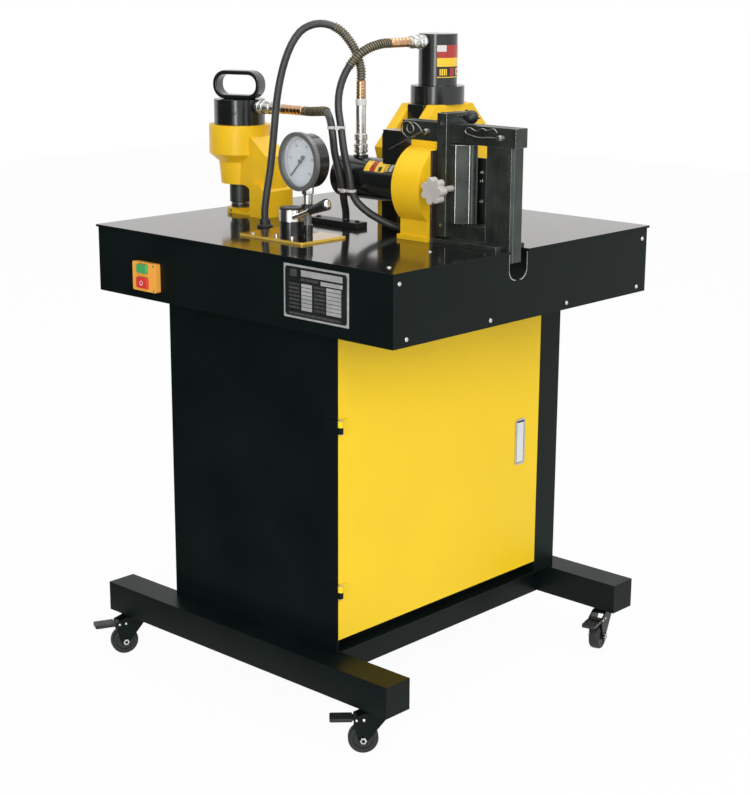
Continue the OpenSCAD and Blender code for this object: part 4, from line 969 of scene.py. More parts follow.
class MACHINE_OT_couplings(bpy.types.Operator):
    """Replaces the plain hose ends with quick couplings, ferrules, glands and the elbow"""

    bl_idname = "machine.couplings"
    bl_label = "Hose couplings"

    def execute(self, context):
        boss, seat = 0.003, 0.002
        start = BENDER_Z + BENDER_CYLINDER_RADIUS + boss
        length = BENDER_ROUTE[-1][2] - FERRULE_LENGTHS["bender"] - start
        first = coupling("bender", (0.0, BENDER_Y, start), UP, length, collar=True)
        start = PUNCH_X + PUNCH_CYLINDER_RADIUS + seat
        length = PUNCH_ROUTE[0][0] - FERRULE_LENGTHS["punch"] - start
        coupling("punch", (start, *PUNCH_ROUTE[0][1:]), (1, 0, 0), length)
        start = CUTTER_Y - CUTTER_CYLINDER_RADIUS - seat
        length = start - CUTTER_ROUTE[0][1] - FERRULE_LENGTHS["cutter"]
        coupling("cutter", (CUTTER_X, start, CUTTER_ROUTE[0][2]), (0, -1, 0), length)
        self.glands()
        self.elbow()
        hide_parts("hose_fittings")
        return {"FINISHED"}

    def glands(self):
        """The bender hose's boot, the strip that holds the punch hose, and the stems under the table."""
        mesh = bmesh.new()
        boot_at = BENDER_ROUTE[0][:2]
        strip_y = PUNCH_ROUTE[-1][1]
        boot = [
            (0.0, 0.0), (0.014, 0.0), (0.014, 0.0032), (0.0132, 0.004), (0.0104, 0.0044),
            (0.0100, 0.006), (0.0092, 0.0138), (0.0080, 0.015), (0.0, 0.015),
        ]
        turned(mesh, boot, Matrix.Translation((*boot_at, TABLE_TOP)), 40)
        stem = [
            (0.0, 0.0), (0.006, 0.0), (0.006, 0.004), (0.012, 0.004), (0.012, 0.0118), (0.006, 0.012),
            (0.006, 0.0165), (0.0, 0.0165),
        ]
        for x, y in (boot_at, PUNCH_ROUTE[-1][:2], (-0.075, strip_y), (ELBOW_X, 0.060)):
            turned(mesh, stem, Matrix.Translation((x, y, TABLE_TOP - 0.016)), 6)
        slab(mesh, (-0.103, strip_y - 0.014, TABLE_TOP), (0.013, strip_y + 0.014, TABLE_TOP + 0.0095))
        bolt = [(0.0, 0.0), (0.0042, 0.0), (0.0042, 0.0026), (0.0026, 0.0034), (0.0, 0.0034)]
        for x in (-0.092, 0.002):
            turned(mesh, bolt, Matrix.Translation((x, strip_y, TABLE_TOP + 0.0092)), 24)
        piece("hose_glands", mesh, "stand", "black_plastic", moulded_black(), edge=0.0008, angle=40)

    def elbow(self):
        """The block through which the cutter hose leaves the table, with its nut."""
        mesh = bmesh.new()
        slab(mesh, (ELBOW_X - 0.012, 0.049, TABLE_TOP), (ELBOW_X + 0.012, 0.072, TABLE_TOP + 0.020))
        nut = [(0.0, 0.0), (0.0095, 0.0), (0.0100, 0.001), (0.0100, 0.0062), (0.0080, 0.0072), (0.0, 0.0072)]
        turned(mesh, nut, along((ELBOW_X, 0.0555, TABLE_TOP + 0.0102), (0, -1, 0)), 6)
        piece("table_elbow", mesh, "stand", "bright_steel", zinc(), edge=0.0012, angle=40)


def screw_head(mesh, point, direction, radius=0.0036, height=0.002, material=0):
    """A domed head with a sunk cross."""
    place = along(point, direction)
    dome = [
        (radius, 0.0), (radius, height * 0.35), (radius * 0.86, height * 0.72), (radius * 0.55, height),
        (radius * 0.5, height),
    ]
    turned(mesh, [(0.0, 0.0), *dome, (0.0, height * 0.55)], place, 24, material)


def screw_body(mesh, point, direction, length=0.0078, radius=0.0019, material=0):
    """The shank under a screw's head, with its thread as shallow grooves."""
    place = along(point, -Vector(direction))
    rings = [(0.0, 0.0), (radius, 0.0)]
    turns = 7
    for k in range(turns):
        z = length * (k + 0.5) / turns
        rings += [(radius, z), (radius * 0.84, z + length / turns * 0.35)]
    rings += [(radius * 0.6, length), (0.0, length)]
    turned(mesh, rings, place, 16, material)


class MACHINE_OT_screws(bpy.types.Operator):
    """Replaces the plain screws with domed cross-head screws"""

    bl_idname = "machine.screws"
    bl_label = "Screws"

    def execute(self, context):
        mesh = bmesh.new()
        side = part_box("table_skirt")[1].x
        in_skirt = (
            (-0.321, 0.780), (-0.304, 0.692), (-0.102, 0.691), (0.101, 0.691), (0.307, 0.691),
            (0.319, 0.775),
        )
        for y, z in in_skirt:
            screw_head(mesh, (side, y, z), (1, 0, 0))
            screw_body(mesh, (side, y, z), (1, 0, 0))
        plate = TABLE_TOP + 0.004
        for point in (
            (-0.059, -0.235, plate), (0.001, -0.147, plate), (-0.067, -0.153, plate),
            (0.311, -0.301, TABLE_TOP), (0.260, -0.148, TABLE_TOP),
        ):
            screw_head(mesh, point, UP)
            screw_body(mesh, point, UP)
        made = piece("panel_screws", mesh, "stand", "bright_steel", zinc(), angle=28)
        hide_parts("screws")
        return {"FINISHED"}


class MACHINE_OT_table(bpy.types.Operator):
    """Dresses the table top, its skirt and the cart"""

    bl_idname = "machine.table"
    bl_label = "Table and cart"

    def execute(self, context):
        top = dress("table_top", table_black(), satin_black(), edge=0.0009)
        under = TABLE_TOP - 0.0004
        paint_faces(top, [(1, lambda point: point.z < under)])
        dress("table_skirt", satin_black(), edge=sizes().sheet_edge)
        dress("base_frame", satin_black(), edge=0.0018)
        self.welds()
        self.notch()
        return {"FINISHED"}

    def notch(self):
        """The slot's bright sheared edges, and the webs that round its lower corners."""
        mesh = bmesh.new()
        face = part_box("table_skirt")[1].x - 0.0014
        sill, top, turn = 0.7481, 0.7920, 0.018
        upright = Matrix(((0, 0, 1, face), (1, 0, 0, 0), (0, 1, 0, 0), (0, 0, 0, 1)))
        for side, inward in ((-0.0096, -1), (-0.0564, 1)):
            arc = []
            for k in range(13):
                angle = math.radians(90.0 * k / 12)
                y = side + inward * turn * (1 - math.cos(angle))
                arc.append((y, sill + turn * (1 - math.sin(angle))))
            prism(mesh, [(side, sill), *reversed(arc)], 0.0011, upright)
            edge = [Vector((face, side, top)), Vector((face, side, top - 0.012))]
            edge += [Vector((face, y, z)) for y, z in arc]
            for first, last in zip(edge, edge[1:]):
                along = (last - first).normalized()
                across = Vector((0.0, -along.z, along.y)) * 0.0007
                corners = [first - across, last - across, last + across, first + across]
                prism(mesh, [(c.y, c.z) for c in corners], 0.0013, upright, 1)
        piece("slot_edge", mesh, "stand", "cabinet_black", satin_black(), zinc(), angle=30)

    def welds(self):
        """Weld beads where the rails meet the feet."""
        mesh = bmesh.new()
        low, high = (corner.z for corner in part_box("base_frame"))
        foot_side = 0.284
        height = high - 0.0002
        ripples = 16
        radii = [0.0016 + 0.0004 * math.sin(k * 2.4) for k in range(ripples + 1)]
        for x0, x1 in ((-0.183, -0.153), (0.139, 0.169)):
            for sign in (-1, 1):
                y = sign * (foot_side - 0.0006)
                bead = [Vector((x0 + (x1 - x0) * k / ripples, y, height)) for k in range(ripples + 1)]
                swept(mesh, bead, radii, 8)
        for point in mesh.verts:
            point.co.z = max(low, point.co.z)
        piece("frame_welds", mesh, "stand", "cabinet_black", satin_black(), angle=60)


class MACHINE_OT_cabinet(bpy.types.Operator):
    """Dresses the cabinet, its door, hinges and latch, and the power unit inside"""

    bl_idname = "machine.cabinet"
    bl_label = "Cabinet and door"

    def execute(self, context):
        for node in ("cabinet_shell", "door_frame"):
            dress(node, satin_black(), edge=sizes().sheet_edge)
        dress("door", door_yellow(), edge=0.0016, segments=3)
        dress("hinge_pins", zinc(), edge=0.0003)
        dress("latch_tray", bare_steel(), edge=0.0006)
        dress("latch_paddle", turned_steel(), edge=0.0009, segments=3)
        dress("oil_tank", cylinder_black(), edge=0.0016)
        dress("motor", motor_grey(), edge=0.003, segments=3)
        self.seal()
        self.motor_ribs()
        self.filler_cap()
        return {"FINISHED"}

    def seal(self):
        """The black foam strip that the door closes on."""
        low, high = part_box("door")
        from_edge = 0.023
        set_in = 0.0128
        thickness = 0.004
        outline = rounded(high.y - low.y - from_edge * 2, high.z - low.z - from_edge * 2, 0.004, 3)
        middle = (low + high) / 2
        path = [Vector((low.x + set_in, middle.y + y, middle.z + z)) for y, z in outline]
        mesh = bmesh.new()
        swept(mesh, path, thickness / 2, 8, closed=True)
        piece("door_seal", mesh, "door", "wheel_rubber", tyre(), angle=60)

    def motor_ribs(self):
        """Cooling ribs round the motor."""
        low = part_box("motor")[0]
        centre = Vector((MOTOR_X, MOTOR_Y, 0.0))
        mesh = bmesh.new()
        ribs = 26
        for k in range(ribs):
            angle = math.tau * k / ribs
            if 60 < math.degrees(angle) < 120:
                continue  # the terminal box stands here
            out = Vector((math.cos(angle), math.sin(angle), 0.0))
            across = UP.cross(out)
            at = centre + out * 0.0695
            place = Matrix((out, across, UP)).transposed().to_4x4()
            place = Matrix.Translation(at + UP * (low.z + 0.018)) @ place
            prism(mesh, [(0.0, -0.0014), (0.0068, -0.0009), (0.0068, 0.0009), (0.0, 0.0014)], 0.176, place)
        piece("motor_ribs", mesh, "stand", "motor_grey", motor_grey(), edge=0.0004, angle=40)

    def filler_cap(self):
        """The oil filler's vented cap."""
        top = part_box("oil_tank")[1].z
        mesh = bmesh.new()
        cap = [
            (0.0, -0.006), (0.0172, -0.006), (0.0172, 0.0), (0.024, 0.0), (0.024, 0.012), (0.022, 0.0145),
            (0.010, 0.016), (0.0, 0.016),
        ]
        centre = Vector((FILLER_X, FILLER_Y, top))
        turned(mesh, cap, Matrix.Translation(centre), 36)
        grips = 18
        for k in range(grips):
            angle = math.tau * k / grips
            at = centre + Vector((0.024 * math.cos(angle), 0.024 * math.sin(angle), 0.0015))
            prism(mesh, rounded(0.003, 0.003, 0.001, 2), 0.009, Matrix.Translation(at))
        piece("filler_cap", mesh, "stand", "black_plastic", moulded_black(), edge=0.0005, angle=40)


class MACHINE_OT_switch(bpy.types.Operator):
    """Dresses the switch box and marks its buttons with a bar and a ring"""

    bl_idname = "machine.switch"
    bl_label = "Switch panel"

    def execute(self, context):
        dress("switch_box", switch_orange(), edge=0.0010, segments=3)
        dress("start_button", start_green(), edge=0.0012, segments=3)
        dress("stop_button", stop_red(), edge=0.0012, segments=3)
        low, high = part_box("start_button")
        x, face = (low.x + high.x) / 2, low.y
        bar = bmesh.new()
        slab(bar, (x - 0.0009, face + 0.0001, 0.7310), (x + 0.0009, face + 0.0007, 0.7390))
        piece("start_mark", bar, "start", "plate_face", nylon(), edge=0.0002)
        ring = bmesh.new()
        radius, steps = 0.0036, 28
        path = []
        for k in range(steps):
            angle = math.tau * k / steps
            reach, rise = radius * math.cos(angle), radius * math.sin(angle)
            path.append(Vector((x + reach, face + 0.0003, 0.7105 + rise)))
        swept(ring, path, 0.0007, 6, closed=True)
        piece("stop_mark", ring, "stop", "plate_face", nylon(), angle=60)
        screws = bmesh.new()
        for z in (0.7425, 0.6995):
            screw_head(screws, (-0.1915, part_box("switch_box")[0].y + 0.0001, z), (0, -1, 0), 0.0022, 0.0009)
        piece("switch_screws", screws, "stand", "bright_steel", zinc(), angle=30)
        return {"FINISHED"}


class MACHINE_OT_nameplate(bpy.types.Operator):
    """Dresses the plate: a bare border, and fields of plain tone where its print would be"""

    bl_idname = "machine.nameplate"
    bl_label = "Nameplate"

    def execute(self, context):
        dress("nameplate", plate_silver(), edge=0.0004)
        low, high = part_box("nameplate")
        width, height = high.x - low.x, high.z - low.z
        centre = Vector(((low.x + high.x) / 2, low.y, (low.z + high.z) / 2))
        place = along(centre, (0, -1, 0))
        mesh = bmesh.new()
        prism(mesh, rounded(width - 0.007, height - 0.007, 0.005), 0.00012, place)
        self.fields(mesh, width, height, place)
        piece(
            "nameplate_print", mesh, "stand", "plate_face",
            plate_black(), plate_silver(), plate_grey(), angle=30,
        )
        return {"FINISHED"}

    def fields(self, mesh, width, height, place):
        """Title bars, two bright columns cut into rows, and grey columns beside them."""

        def field(left, top, w, h, material, lift=0.00024):
            x0, x1 = -width / 2 + left * width, -width / 2 + (left + w) * width
            y1 = height / 2 - top * height
            y0 = y1 - h * height
            outline = [(x0, y0), (x1, y0), (x1, y1), (x0, y1)]
            prism(mesh, outline, lift, place, material)

        field(0.275, 0.085, 0.635, 0.115, 1)
        field(0.580, 0.235, 0.330, 0.075, 1)
        field(0.100, 0.090, 0.110, 0.130, 2)
        field(0.275, 0.235, 0.270, 0.050, 2)
        for row in range(7):
            top = 0.335 + row * 0.0720
            field(0.280, top, 0.165, 0.062, 1)
            field(0.665, top, 0.225, 0.062, 1)
            field(0.085, top + 0.006, 0.165, 0.040, 2)
            field(0.475, top + 0.006, 0.165, 0.040, 2)
        field(0.085, 0.885, 0.800, 0.045, 2)


def paint_faces(made, rules):
    """Gives the faces of a CAD node another of its materials where a rule holds for a face's centre."""
    for face in made.data.polygons:
        for index, rule in rules:
            if rule(face.center):
                face.material_index = index


def socket_head(radius, height):
    """The lathe profile of a cap screw's head with its sunk socket."""
    inner = radius * 0.5
    return [
        (0.0, 0.0), (radius, 0.0), (radius, height * 0.75), (radius * 0.86, height), (inner, height),
        (inner, height * 0.35), (0.0, height * 0.35),
    ]


class MACHINE_OT_valve(bpy.types.Operator):
    """Dresses the hand valve, its plate and its lever"""

    bl_idname = "machine.valve"
    bl_label = "Hand valve"

    def execute(self, context):
        plate = dress("valve_plate", mirror_plate(), brass_edge(), edge=0.0013, bare=True)
        plate_top = VALVE_AT.z - 0.0004
        paint_faces(plate, [(1, lambda point: point.z < plate_top)])
        dress("valve_body", cylinder_black(), edge=0.0008)
        dress("valve_lever", turned_steel(), edge=0.0014, segments=3)
        dress("lever_grip", moulded_black(), edge=0.0012, segments=3)
        self.lid()
        self.lever_end()
        self.body_bolts()
        return {"FINISHED"}

    def lid(self):
        """The black lid over the turning cap."""
        mesh = bmesh.new()
        place = Matrix.Translation((VALVE_AT.x, VALVE_AT.y, VALVE_AT.z + 0.0461))
        profile = [(0.0, 0.0), (0.0206, 0.0), (0.0210, 0.0008), (0.0206, 0.0026), (0.0190, 0.0036)]
        turned(mesh, [*profile, (0.0060, 0.0040), (0.0050, 0.0034), (0.0, 0.0034)], place, 48)
        piece("valve_lid", mesh, "lever", "black_plastic", moulded_black(), angle=50)

    def lever_end(self):
        """The bright plug in the grip's end, and the collar at its root."""
        heading = Vector((math.cos(LEVER_SLOPE), 0.0, math.sin(LEVER_SLOPE)))
        mesh = bmesh.new()
        plug = [
            (0.0, 0.0), (0.0074, 0.0), (0.0076, 0.0010), (0.0066, 0.0024), (0.0040, 0.0034), (0.0, 0.0036),
        ]
        turned(mesh, plug, along(LEVER_ROOT + heading * 0.0918, heading), 32)
        collar = [(0.0046, 0.0), (0.0058, 0.0006), (0.0058, 0.0034), (0.0046, 0.0040)]
        turned(mesh, collar, along(LEVER_ROOT + heading * 0.0470, heading), 32)
        piece("lever_end_plug", mesh, "lever", "bright_steel", turned_steel(), angle=50)

    def body_bolts(self):
        """Socket screws round the foot of the valve."""
        mesh = bmesh.new()
        reach = 0.0262
        for k in range(4):
            angle = math.radians(45 + 90 * k)
            at = VALVE_AT + Vector((reach * math.cos(angle), reach * math.sin(angle), 0.0))
            turned(mesh, socket_head(0.0036, 0.0040), Matrix.Translation(at), 20)
        piece("valve_foot_screws", mesh, "stand", "black_paint", bare_steel(), angle=30)


def dial_angle(step, steps):
    """The direction of a graduation on the dial, in radians: three quarters of a turn, from lower left."""
    return math.radians(225 - 270 * step / steps)


class MACHINE_OT_gauge(bpy.types.Operator):
    """Dresses the pressure gauge and prints its dial"""

    bl_idname = "machine.gauge"
    bl_label = "Pressure gauge"

    def execute(self, context):
        self.place = along(GAUGE_CENTRE, GAUGE_OUT)
        case = dress("gauge_case", cylinder_black(), bezel_steel(), edge=0.0009, segments=3)
        bezel_start = 0.023 - 0.0082

        def bezel_or_stem(point):
            local = self.place.inverted() @ point
            return local.z > bezel_start or point.z < GAUGE_CENTRE.z - 0.0435

        paint_faces(case, [(1, bezel_or_stem)])
        dress("gauge_needle", ink(), edge=0.0002)
        dress("gauge_glass", clear_glass(), edge=0.0004)
        self.dial()
        self.numbers()
        self.hub()
        self.neck()
        return {"FINISHED"}

    def neck(self):
        """The swivel nut and seal between the gauge and its stem."""
        mesh = bmesh.new()
        place = Matrix.Translation((GAUGE_CENTRE.x, GAUGE_CENTRE.y, 0.0))
        nut = [(0.0062, 0.8860), (0.0098, 0.8860), (0.0102, 0.8850), (0.0102, 0.8750), (0.0062, 0.8740)]
        stem = [(0.0060, 0.8745), (0.0080, 0.8740), (0.0078, 0.8590), (0.0060, 0.8580)]
        seal = [(0.0058, 0.8582), (0.0112, 0.8575), (0.0112, 0.8520), (0.0058, 0.8512)]
        turned(mesh, nut, place, 6)
        turned(mesh, stem, place, 40)
        turned(mesh, seal, place, 40, 1)
        piece("gauge_neck", mesh, "stand", "bright_steel", zinc(), moulded_black(), angle=30)

    def dial(self):
        """The painted disc with its arc of graduations."""
        mesh = bmesh.new()
        place = self.place @ Matrix.Translation((0.0, 0.0, 0.0131))
        turned(mesh, [(0.0, 0.0), (0.0428, 0.0), (0.0428, 0.0003), (0.0, 0.0003)], place, 72)
        lift = place @ Matrix.Translation((0.0, 0.0, 0.00028))
        print_depth = 0.00008
        marks = 50
        for k in range(marks + 1):
            angle = dial_angle(k, marks)
            major = k % 5 == 0
            out = Vector((math.cos(angle), math.sin(angle)))
            side = Vector((-out.y, out.x)) * (0.00034 if major else 0.0002)
            near = out * (0.0325 if major else 0.0345)
            far = out * 0.0372
            mark = [tuple(near - side), tuple(far - side), tuple(far + side), tuple(near + side)]
            prism(mesh, mark, print_depth, lift, 1)
        radius, inner, steps = 0.0376, 0.988, 54
        arc = []
        for k in range(steps + 1):
            angle = dial_angle(k, steps)
            arc.append((radius * math.cos(angle), radius * math.sin(angle)))
        for a, b in zip(arc, arc[1:]):
            inner_a, inner_b = (a[0] * inner, a[1] * inner), (b[0] * inner, b[1] * inner)
            prism(mesh, [inner_b, b, a, inner_a], print_depth, lift, 1)
        piece("gauge_dial", mesh, "stand", "plate_face", dial_paint(), ink(), angle=30)

    def numbers(self):
        """Plain pressure numbers round the dial."""
        place = self.place @ Matrix.Translation((0.0, 0.0, 0.01342))
        joined = bmesh.new()
        radius, steps = 0.0272, 5
        for k in range(steps + 1):
            angle = dial_angle(k, steps)
            words = bpy.data.curves.new("number", "FONT")
            words.body = str(k * 20)
            words.size = 0.0062
            words.align_x = "CENTER"
            words.align_y = "CENTER"
            words.extrude = 0.00003
            holder = bpy.data.objects.new("number", words)
            bpy.context.scene.collection.objects.link(holder)
            bpy.context.view_layer.update()
            shape = bpy.data.meshes.new_from_object(holder)
            spot = Matrix.Translation((radius * math.cos(angle), radius * math.sin(angle), 0.0))
            shape.transform(place @ spot)
            joined.from_mesh(shape)
            bpy.data.objects.remove(holder)
        piece("gauge_numbers", joined, "stand", "plate_face", ink(), angle=30)

    def hub(self):
        """The needle's turned cap and its round counterweight."""
        mesh = bmesh.new()
        place = self.place @ Matrix.Translation((0.0, 0.0, 0.0178))
        cap = [(0.0, 0.0), (0.0038, 0.0), (0.0038, 0.0003), (0.0028, 0.0005), (0.0, 0.0006)]
        turned(mesh, cap, place, 28)
        weight = [(0.0, 0.0), (0.0038, 0.0), (0.0038, 0.0007), (0.0, 0.0007)]
        turned(mesh, weight, place @ Matrix.Translation((0.0066, 0.0066, -0.0009)), 28)
        piece("gauge_needle_cap", mesh, "needle", "black_plastic", ink(), angle=50)


class MACHINE_OT_punch(bpy.types.Operator):
    """Dresses the punching head"""

    bl_idname = "machine.punch"
    bl_label = "Punch"

    def execute(self, context):
        dress("punch_frame", tool_yellow(), edge=sizes().cast_edge, segments=3)
        dress("punch_cylinder", cylinder_black(), edge=0.0012, segments=3)
        dress("punch_ring", cylinder_black(), edge=0.0022, segments=3)
        dress("punch_ram", black_oxide(), bare_steel(), edge=0.0006, bare=True)
        dress("punch_die", black_oxide(), bare_steel(), edge=0.0009, bare=True)
        self.ring_screw()
        self.die_lock()
        return {"FINISHED"}

    def ring_screw(self):
        """The cap joint under the handle and its locking screws."""
        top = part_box("punch_cylinder")[1].z
        mesh = bmesh.new()
        joint = [(0.0462, 0.0), (0.0467, 0.0004), (0.0467, 0.0018), (0.0462, 0.0022)]
        turned(mesh, joint, Matrix.Translation((PUNCH_X, PUNCH_Y, top - 0.0105)), 64)
        for angle in (215, 305):
            out = Vector((math.cos(math.radians(angle)), math.sin(math.radians(angle)), 0.0))
            at = Vector((PUNCH_X, PUNCH_Y, top - 0.022)) + out * 0.0458
            turned(mesh, socket_head(0.0034, 0.0012), along(at, out), 20)
        piece("punch_cap_joint", mesh, "stand", "black_paint", cylinder_black(), angle=40)

    def die_lock(self):
        """The set screw that holds the die in the jaw."""
        mesh = bmesh.new()
        at = Vector((PUNCH_X, PUNCH_Y - 0.0247, TABLE_TOP + 0.0048))
        turned(mesh, socket_head(0.0030, 0.0008), along(at, (0, -1, 0)), 20)
        piece("punch_set_screw", mesh, "stand", "bright_steel", bare_steel(), angle=30)


def label_field(mesh, place, start, end, low, high, radius, lift, material):
    """Adds one field of a label on a round body: angles in degrees about local Z, and heights along it."""
    steps = max(3, int(abs(end - start) / 6))
    outline = []
    for k in range(steps + 1):
        angle = math.radians(start + (end - start) * k / steps)
        outline.append((math.cos(angle), math.sin(angle)))
    rings = []
    for r, z in ((radius, low), (radius + lift, low), (radius + lift, high), (radius, high)):
        rings.append([mesh.verts.new(place @ Vector((x * r, y * r, z))) for x, y in outline])
    for ring, after in zip(rings, rings[1:]):
        for a, b, c, d in zip(ring, ring[1:], after[1:], after):
            mesh.faces.new([a, b, c, d]).material_index = material
    for k in (0, -1):
        mesh.faces.new([ring[k] for ring in rings]).material_index = material


def label(name, place, radius, edges, fields, *materials):
    """A label round a body, between the directions of its two edges.

    Each field is (from, to, low, high, material): shares of the way between the edges, then heights
    along the body. A later field lies a little over an earlier one.
    """
    to_local = place.to_3x3().inverted()
    first, last = (math.degrees(math.atan2(*(to_local @ edge).yx)) for edge in edges)
    if abs(first - last) > 180:
        last += 360 if last < first else -360
    mesh = bmesh.new()
    for order, (a, b, low, high, material) in enumerate(fields):
        start, end = first + (last - first) * a, first + (last - first) * b
        lift = LABEL_LIFT + 0.00004 * order
        label_field(mesh, place, start, end, low, high, radius, lift, material)
    piece(name, mesh, "stand", "plate_face", *materials, angle=40)


class MACHINE_OT_bender(bpy.types.Operator):
    """Dresses the bending head, its tools, pins and clips"""

    bl_idname = "machine.bender"
    bl_label = "Bender"

    def execute(self, context):
        dress("bender_body", tool_yellow(), edge=sizes().cast_edge, segments=3)
        dress("bender_cylinder", cylinder_black(), edge=0.0014, segments=3)
        dress("bender_ram", turned_steel(), edge=0.0006)
        for node in ("bender_slide", "bender_mandrel", "bender_die", "bender_top_bar"):
            dress(node, black_oxide(), bare_steel(), edge=0.0009, bare=True)
        base = dress("bender_base", black_oxide(), bare_steel(), painted_reflection_oxide(), edge=0.0009, bare=True)
        # The flange's faces beside and under the yellow body take the brown tint: painted reflection of the
        # yellow casting on the black oxide.
        flange_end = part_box("bender_body")[1].x + 0.0045
        paint_faces(base, [(2, lambda point: point.x < flange_end and point.z > TABLE_TOP + 0.008)])
        dress("bender_knob", cast_silver(), edge=0.0024, segments=3)
        self.clips()
        self.labels()
        self.gap_plate()
        self.stop_knob()
        self.slide_screws()
        return {"FINISHED"}

    def clips(self):
        """Locking pins with domed heads, and their spring clips."""
        low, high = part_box("bender_pins")
        mesh = bmesh.new()
        front = low.y
        length = high.y - 0.004 - front
        z = 0.975
        pin = [
            (0.0, 0.0), (0.0036, 0.0), (0.0050, 0.0016), (0.0050, length), (0.0080, length + 0.0002),
            (0.0080, length + 0.0026), (0.0066, length + 0.0040), (0.0, length + 0.0040),
        ]
        for x in (0.166, 0.322):
            turned(mesh, pin, along((x, front, z), (0, 1, 0)), 32)
        y = front + 0.004
        wire = 0.00125
        leg = [
            (0.176, y, z - 0.0005), (0.166, y, z), (0.150, y, z - 0.004), (0.128, y - 0.001, z - 0.015),
            (0.106, y - 0.002, z - 0.026), (0.088, y - 0.002, z - 0.0345),
        ]
        swept(mesh, spline(leg, 5), wire, 8)
        loops = [
            (0.160, y - 0.002, z + 0.0005), (0.152, y - 0.003, z + 0.009), (0.141, y - 0.003, z + 0.0135),
            (0.130, y - 0.003, z + 0.010), (0.128, y - 0.003, z + 0.001), (0.135, y - 0.003, z - 0.004),
            (0.143, y - 0.0035, z + 0.001), (0.1405, y - 0.004, z + 0.009), (0.131, y - 0.004, z + 0.0145),
            (0.119, y - 0.004, z + 0.012), (0.115, y - 0.004, z + 0.003), (0.120, y - 0.004, z - 0.005),
            (0.132, y - 0.004, z - 0.012), (0.146, y - 0.003, z - 0.009),
        ]
        swept(mesh, spline(loops, 6), wire, 8)
        right_leg = [
            (0.332, y, z), (0.322, y, z), (0.300, y, z), (0.280, y, z - 0.0015), (0.262, y, z + 0.001),
        ]
        swept(mesh, spline(right_leg, 5), wire, 8)
        right_loop = [
            (0.262, y, z + 0.001), (0.253, y - 0.001, z + 0.0045), (0.2535, y - 0.001, z + 0.0105),
            (0.262, y - 0.001, z + 0.0125), (0.274, y - 0.001, z + 0.0085), (0.286, y - 0.001, z + 0.0130),
            (0.298, y - 0.001, z + 0.0105), (0.310, y - 0.001, z + 0.0140), (0.318, y - 0.001, z + 0.0085),
        ]
        swept(mesh, spline(right_loop, 6), wire, 8)
        made = piece("locking_pins_and_clips", mesh, "stand", "bright_steel", spring_wire(), angle=45)
        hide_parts("bender_pins")

    def labels(self):
        """Fields of plain colour where the cylinder's label is."""
        edges = []
        for from_top in (26, 62):
            angle = math.radians(from_top)
            edges.append(Vector((0.0, -math.sin(angle), math.cos(angle))))
        fields = (
            (0.0, 1.0, 0.036, 0.049, 0), (0.0, 1.0, 0.049, 0.061, 1), (0.0, 1.0, 0.061, 0.082, 0),
            (0.0, 1.0, 0.082, 0.100, 2), (0.10, 0.9, 0.083, 0.089, 0), (0.15, 0.85, 0.092, 0.0985, 3),
            (0.55, 0.95, 0.068, 0.075, 2),
        )
        label(
            "bender_label", along((0.0, BENDER_Y, BENDER_Z), (1, 0, 0)), BENDER_CYLINDER_RADIUS + 0.0001,
            edges, fields, sticker_yellow(), sticker_red(), plate_black(), plate_silver(),
        )

    def gap_plate(self):
        """The dark plate on the slide behind the mandrel, with four bright screws down it."""
        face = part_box("bender_mandrel")[0].x
        mesh = bmesh.new()
        outline = rounded(0.0405, 0.128, 0.002, 3)
        centre = Vector((face + 0.02025, -0.0046, 0.8705))
        prism(mesh, outline, 0.0036, along(centre, (0, -1, 0)))
        piece("gap_plate", mesh, "bender", "blackened_steel", black_oxide(), edge=0.0006)
        screws = bmesh.new()
        for z in (0.911, 0.897, 0.863, 0.817):
            turned(screws, socket_head(0.0036, 0.0016), along((face + 0.0318, -0.0081, z), (0, -1, 0)), 24)
        piece("gap_plate_screws", screws, "bender", "bright_steel", turned_steel(), angle=30)

    def stop_knob(self):
        """The round knob that is clamped on the stop rod."""
        low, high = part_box("bender_stop")
        radius = (high.z - low.z) / 2
        length = high.x - low.x
        mesh = bmesh.new()
        profile = [(0.0, 0.0), (0.0052, 0.0), (0.0060, 0.0010), (0.0062, 0.0040)]
        steps = 14
        for k in range(steps + 1):
            angle = math.radians(-64 + 154 * k / steps)
            profile.append((radius * math.cos(angle), length - 0.0022 - radius + radius * math.sin(angle)))
        profile[-1] = (0.0, length - 0.0022)
        centre = Vector((low.x, (low.y + high.y) / 2, (low.z + high.z) / 2))
        turned(mesh, profile, along(centre, (1, 0, 0)), 40)
        made = piece("stop_knob", mesh, "bender", "black_plastic", moulded_black(), angle=50)
        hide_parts("bender_stop")

    def slide_screws(self):
        """The clamp screws on the slide's narrow side."""
        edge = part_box("bender_slide")[0].y
        mesh = bmesh.new()
        for z in (0.826, 0.992):
            turned(mesh, socket_head(0.0040, 0.0006), along((0.208, edge + 0.0002, z), (0, -1, 0)), 20)
        piece("slide_screws", mesh, "bender", "bright_steel", bare_steel(), angle=30)


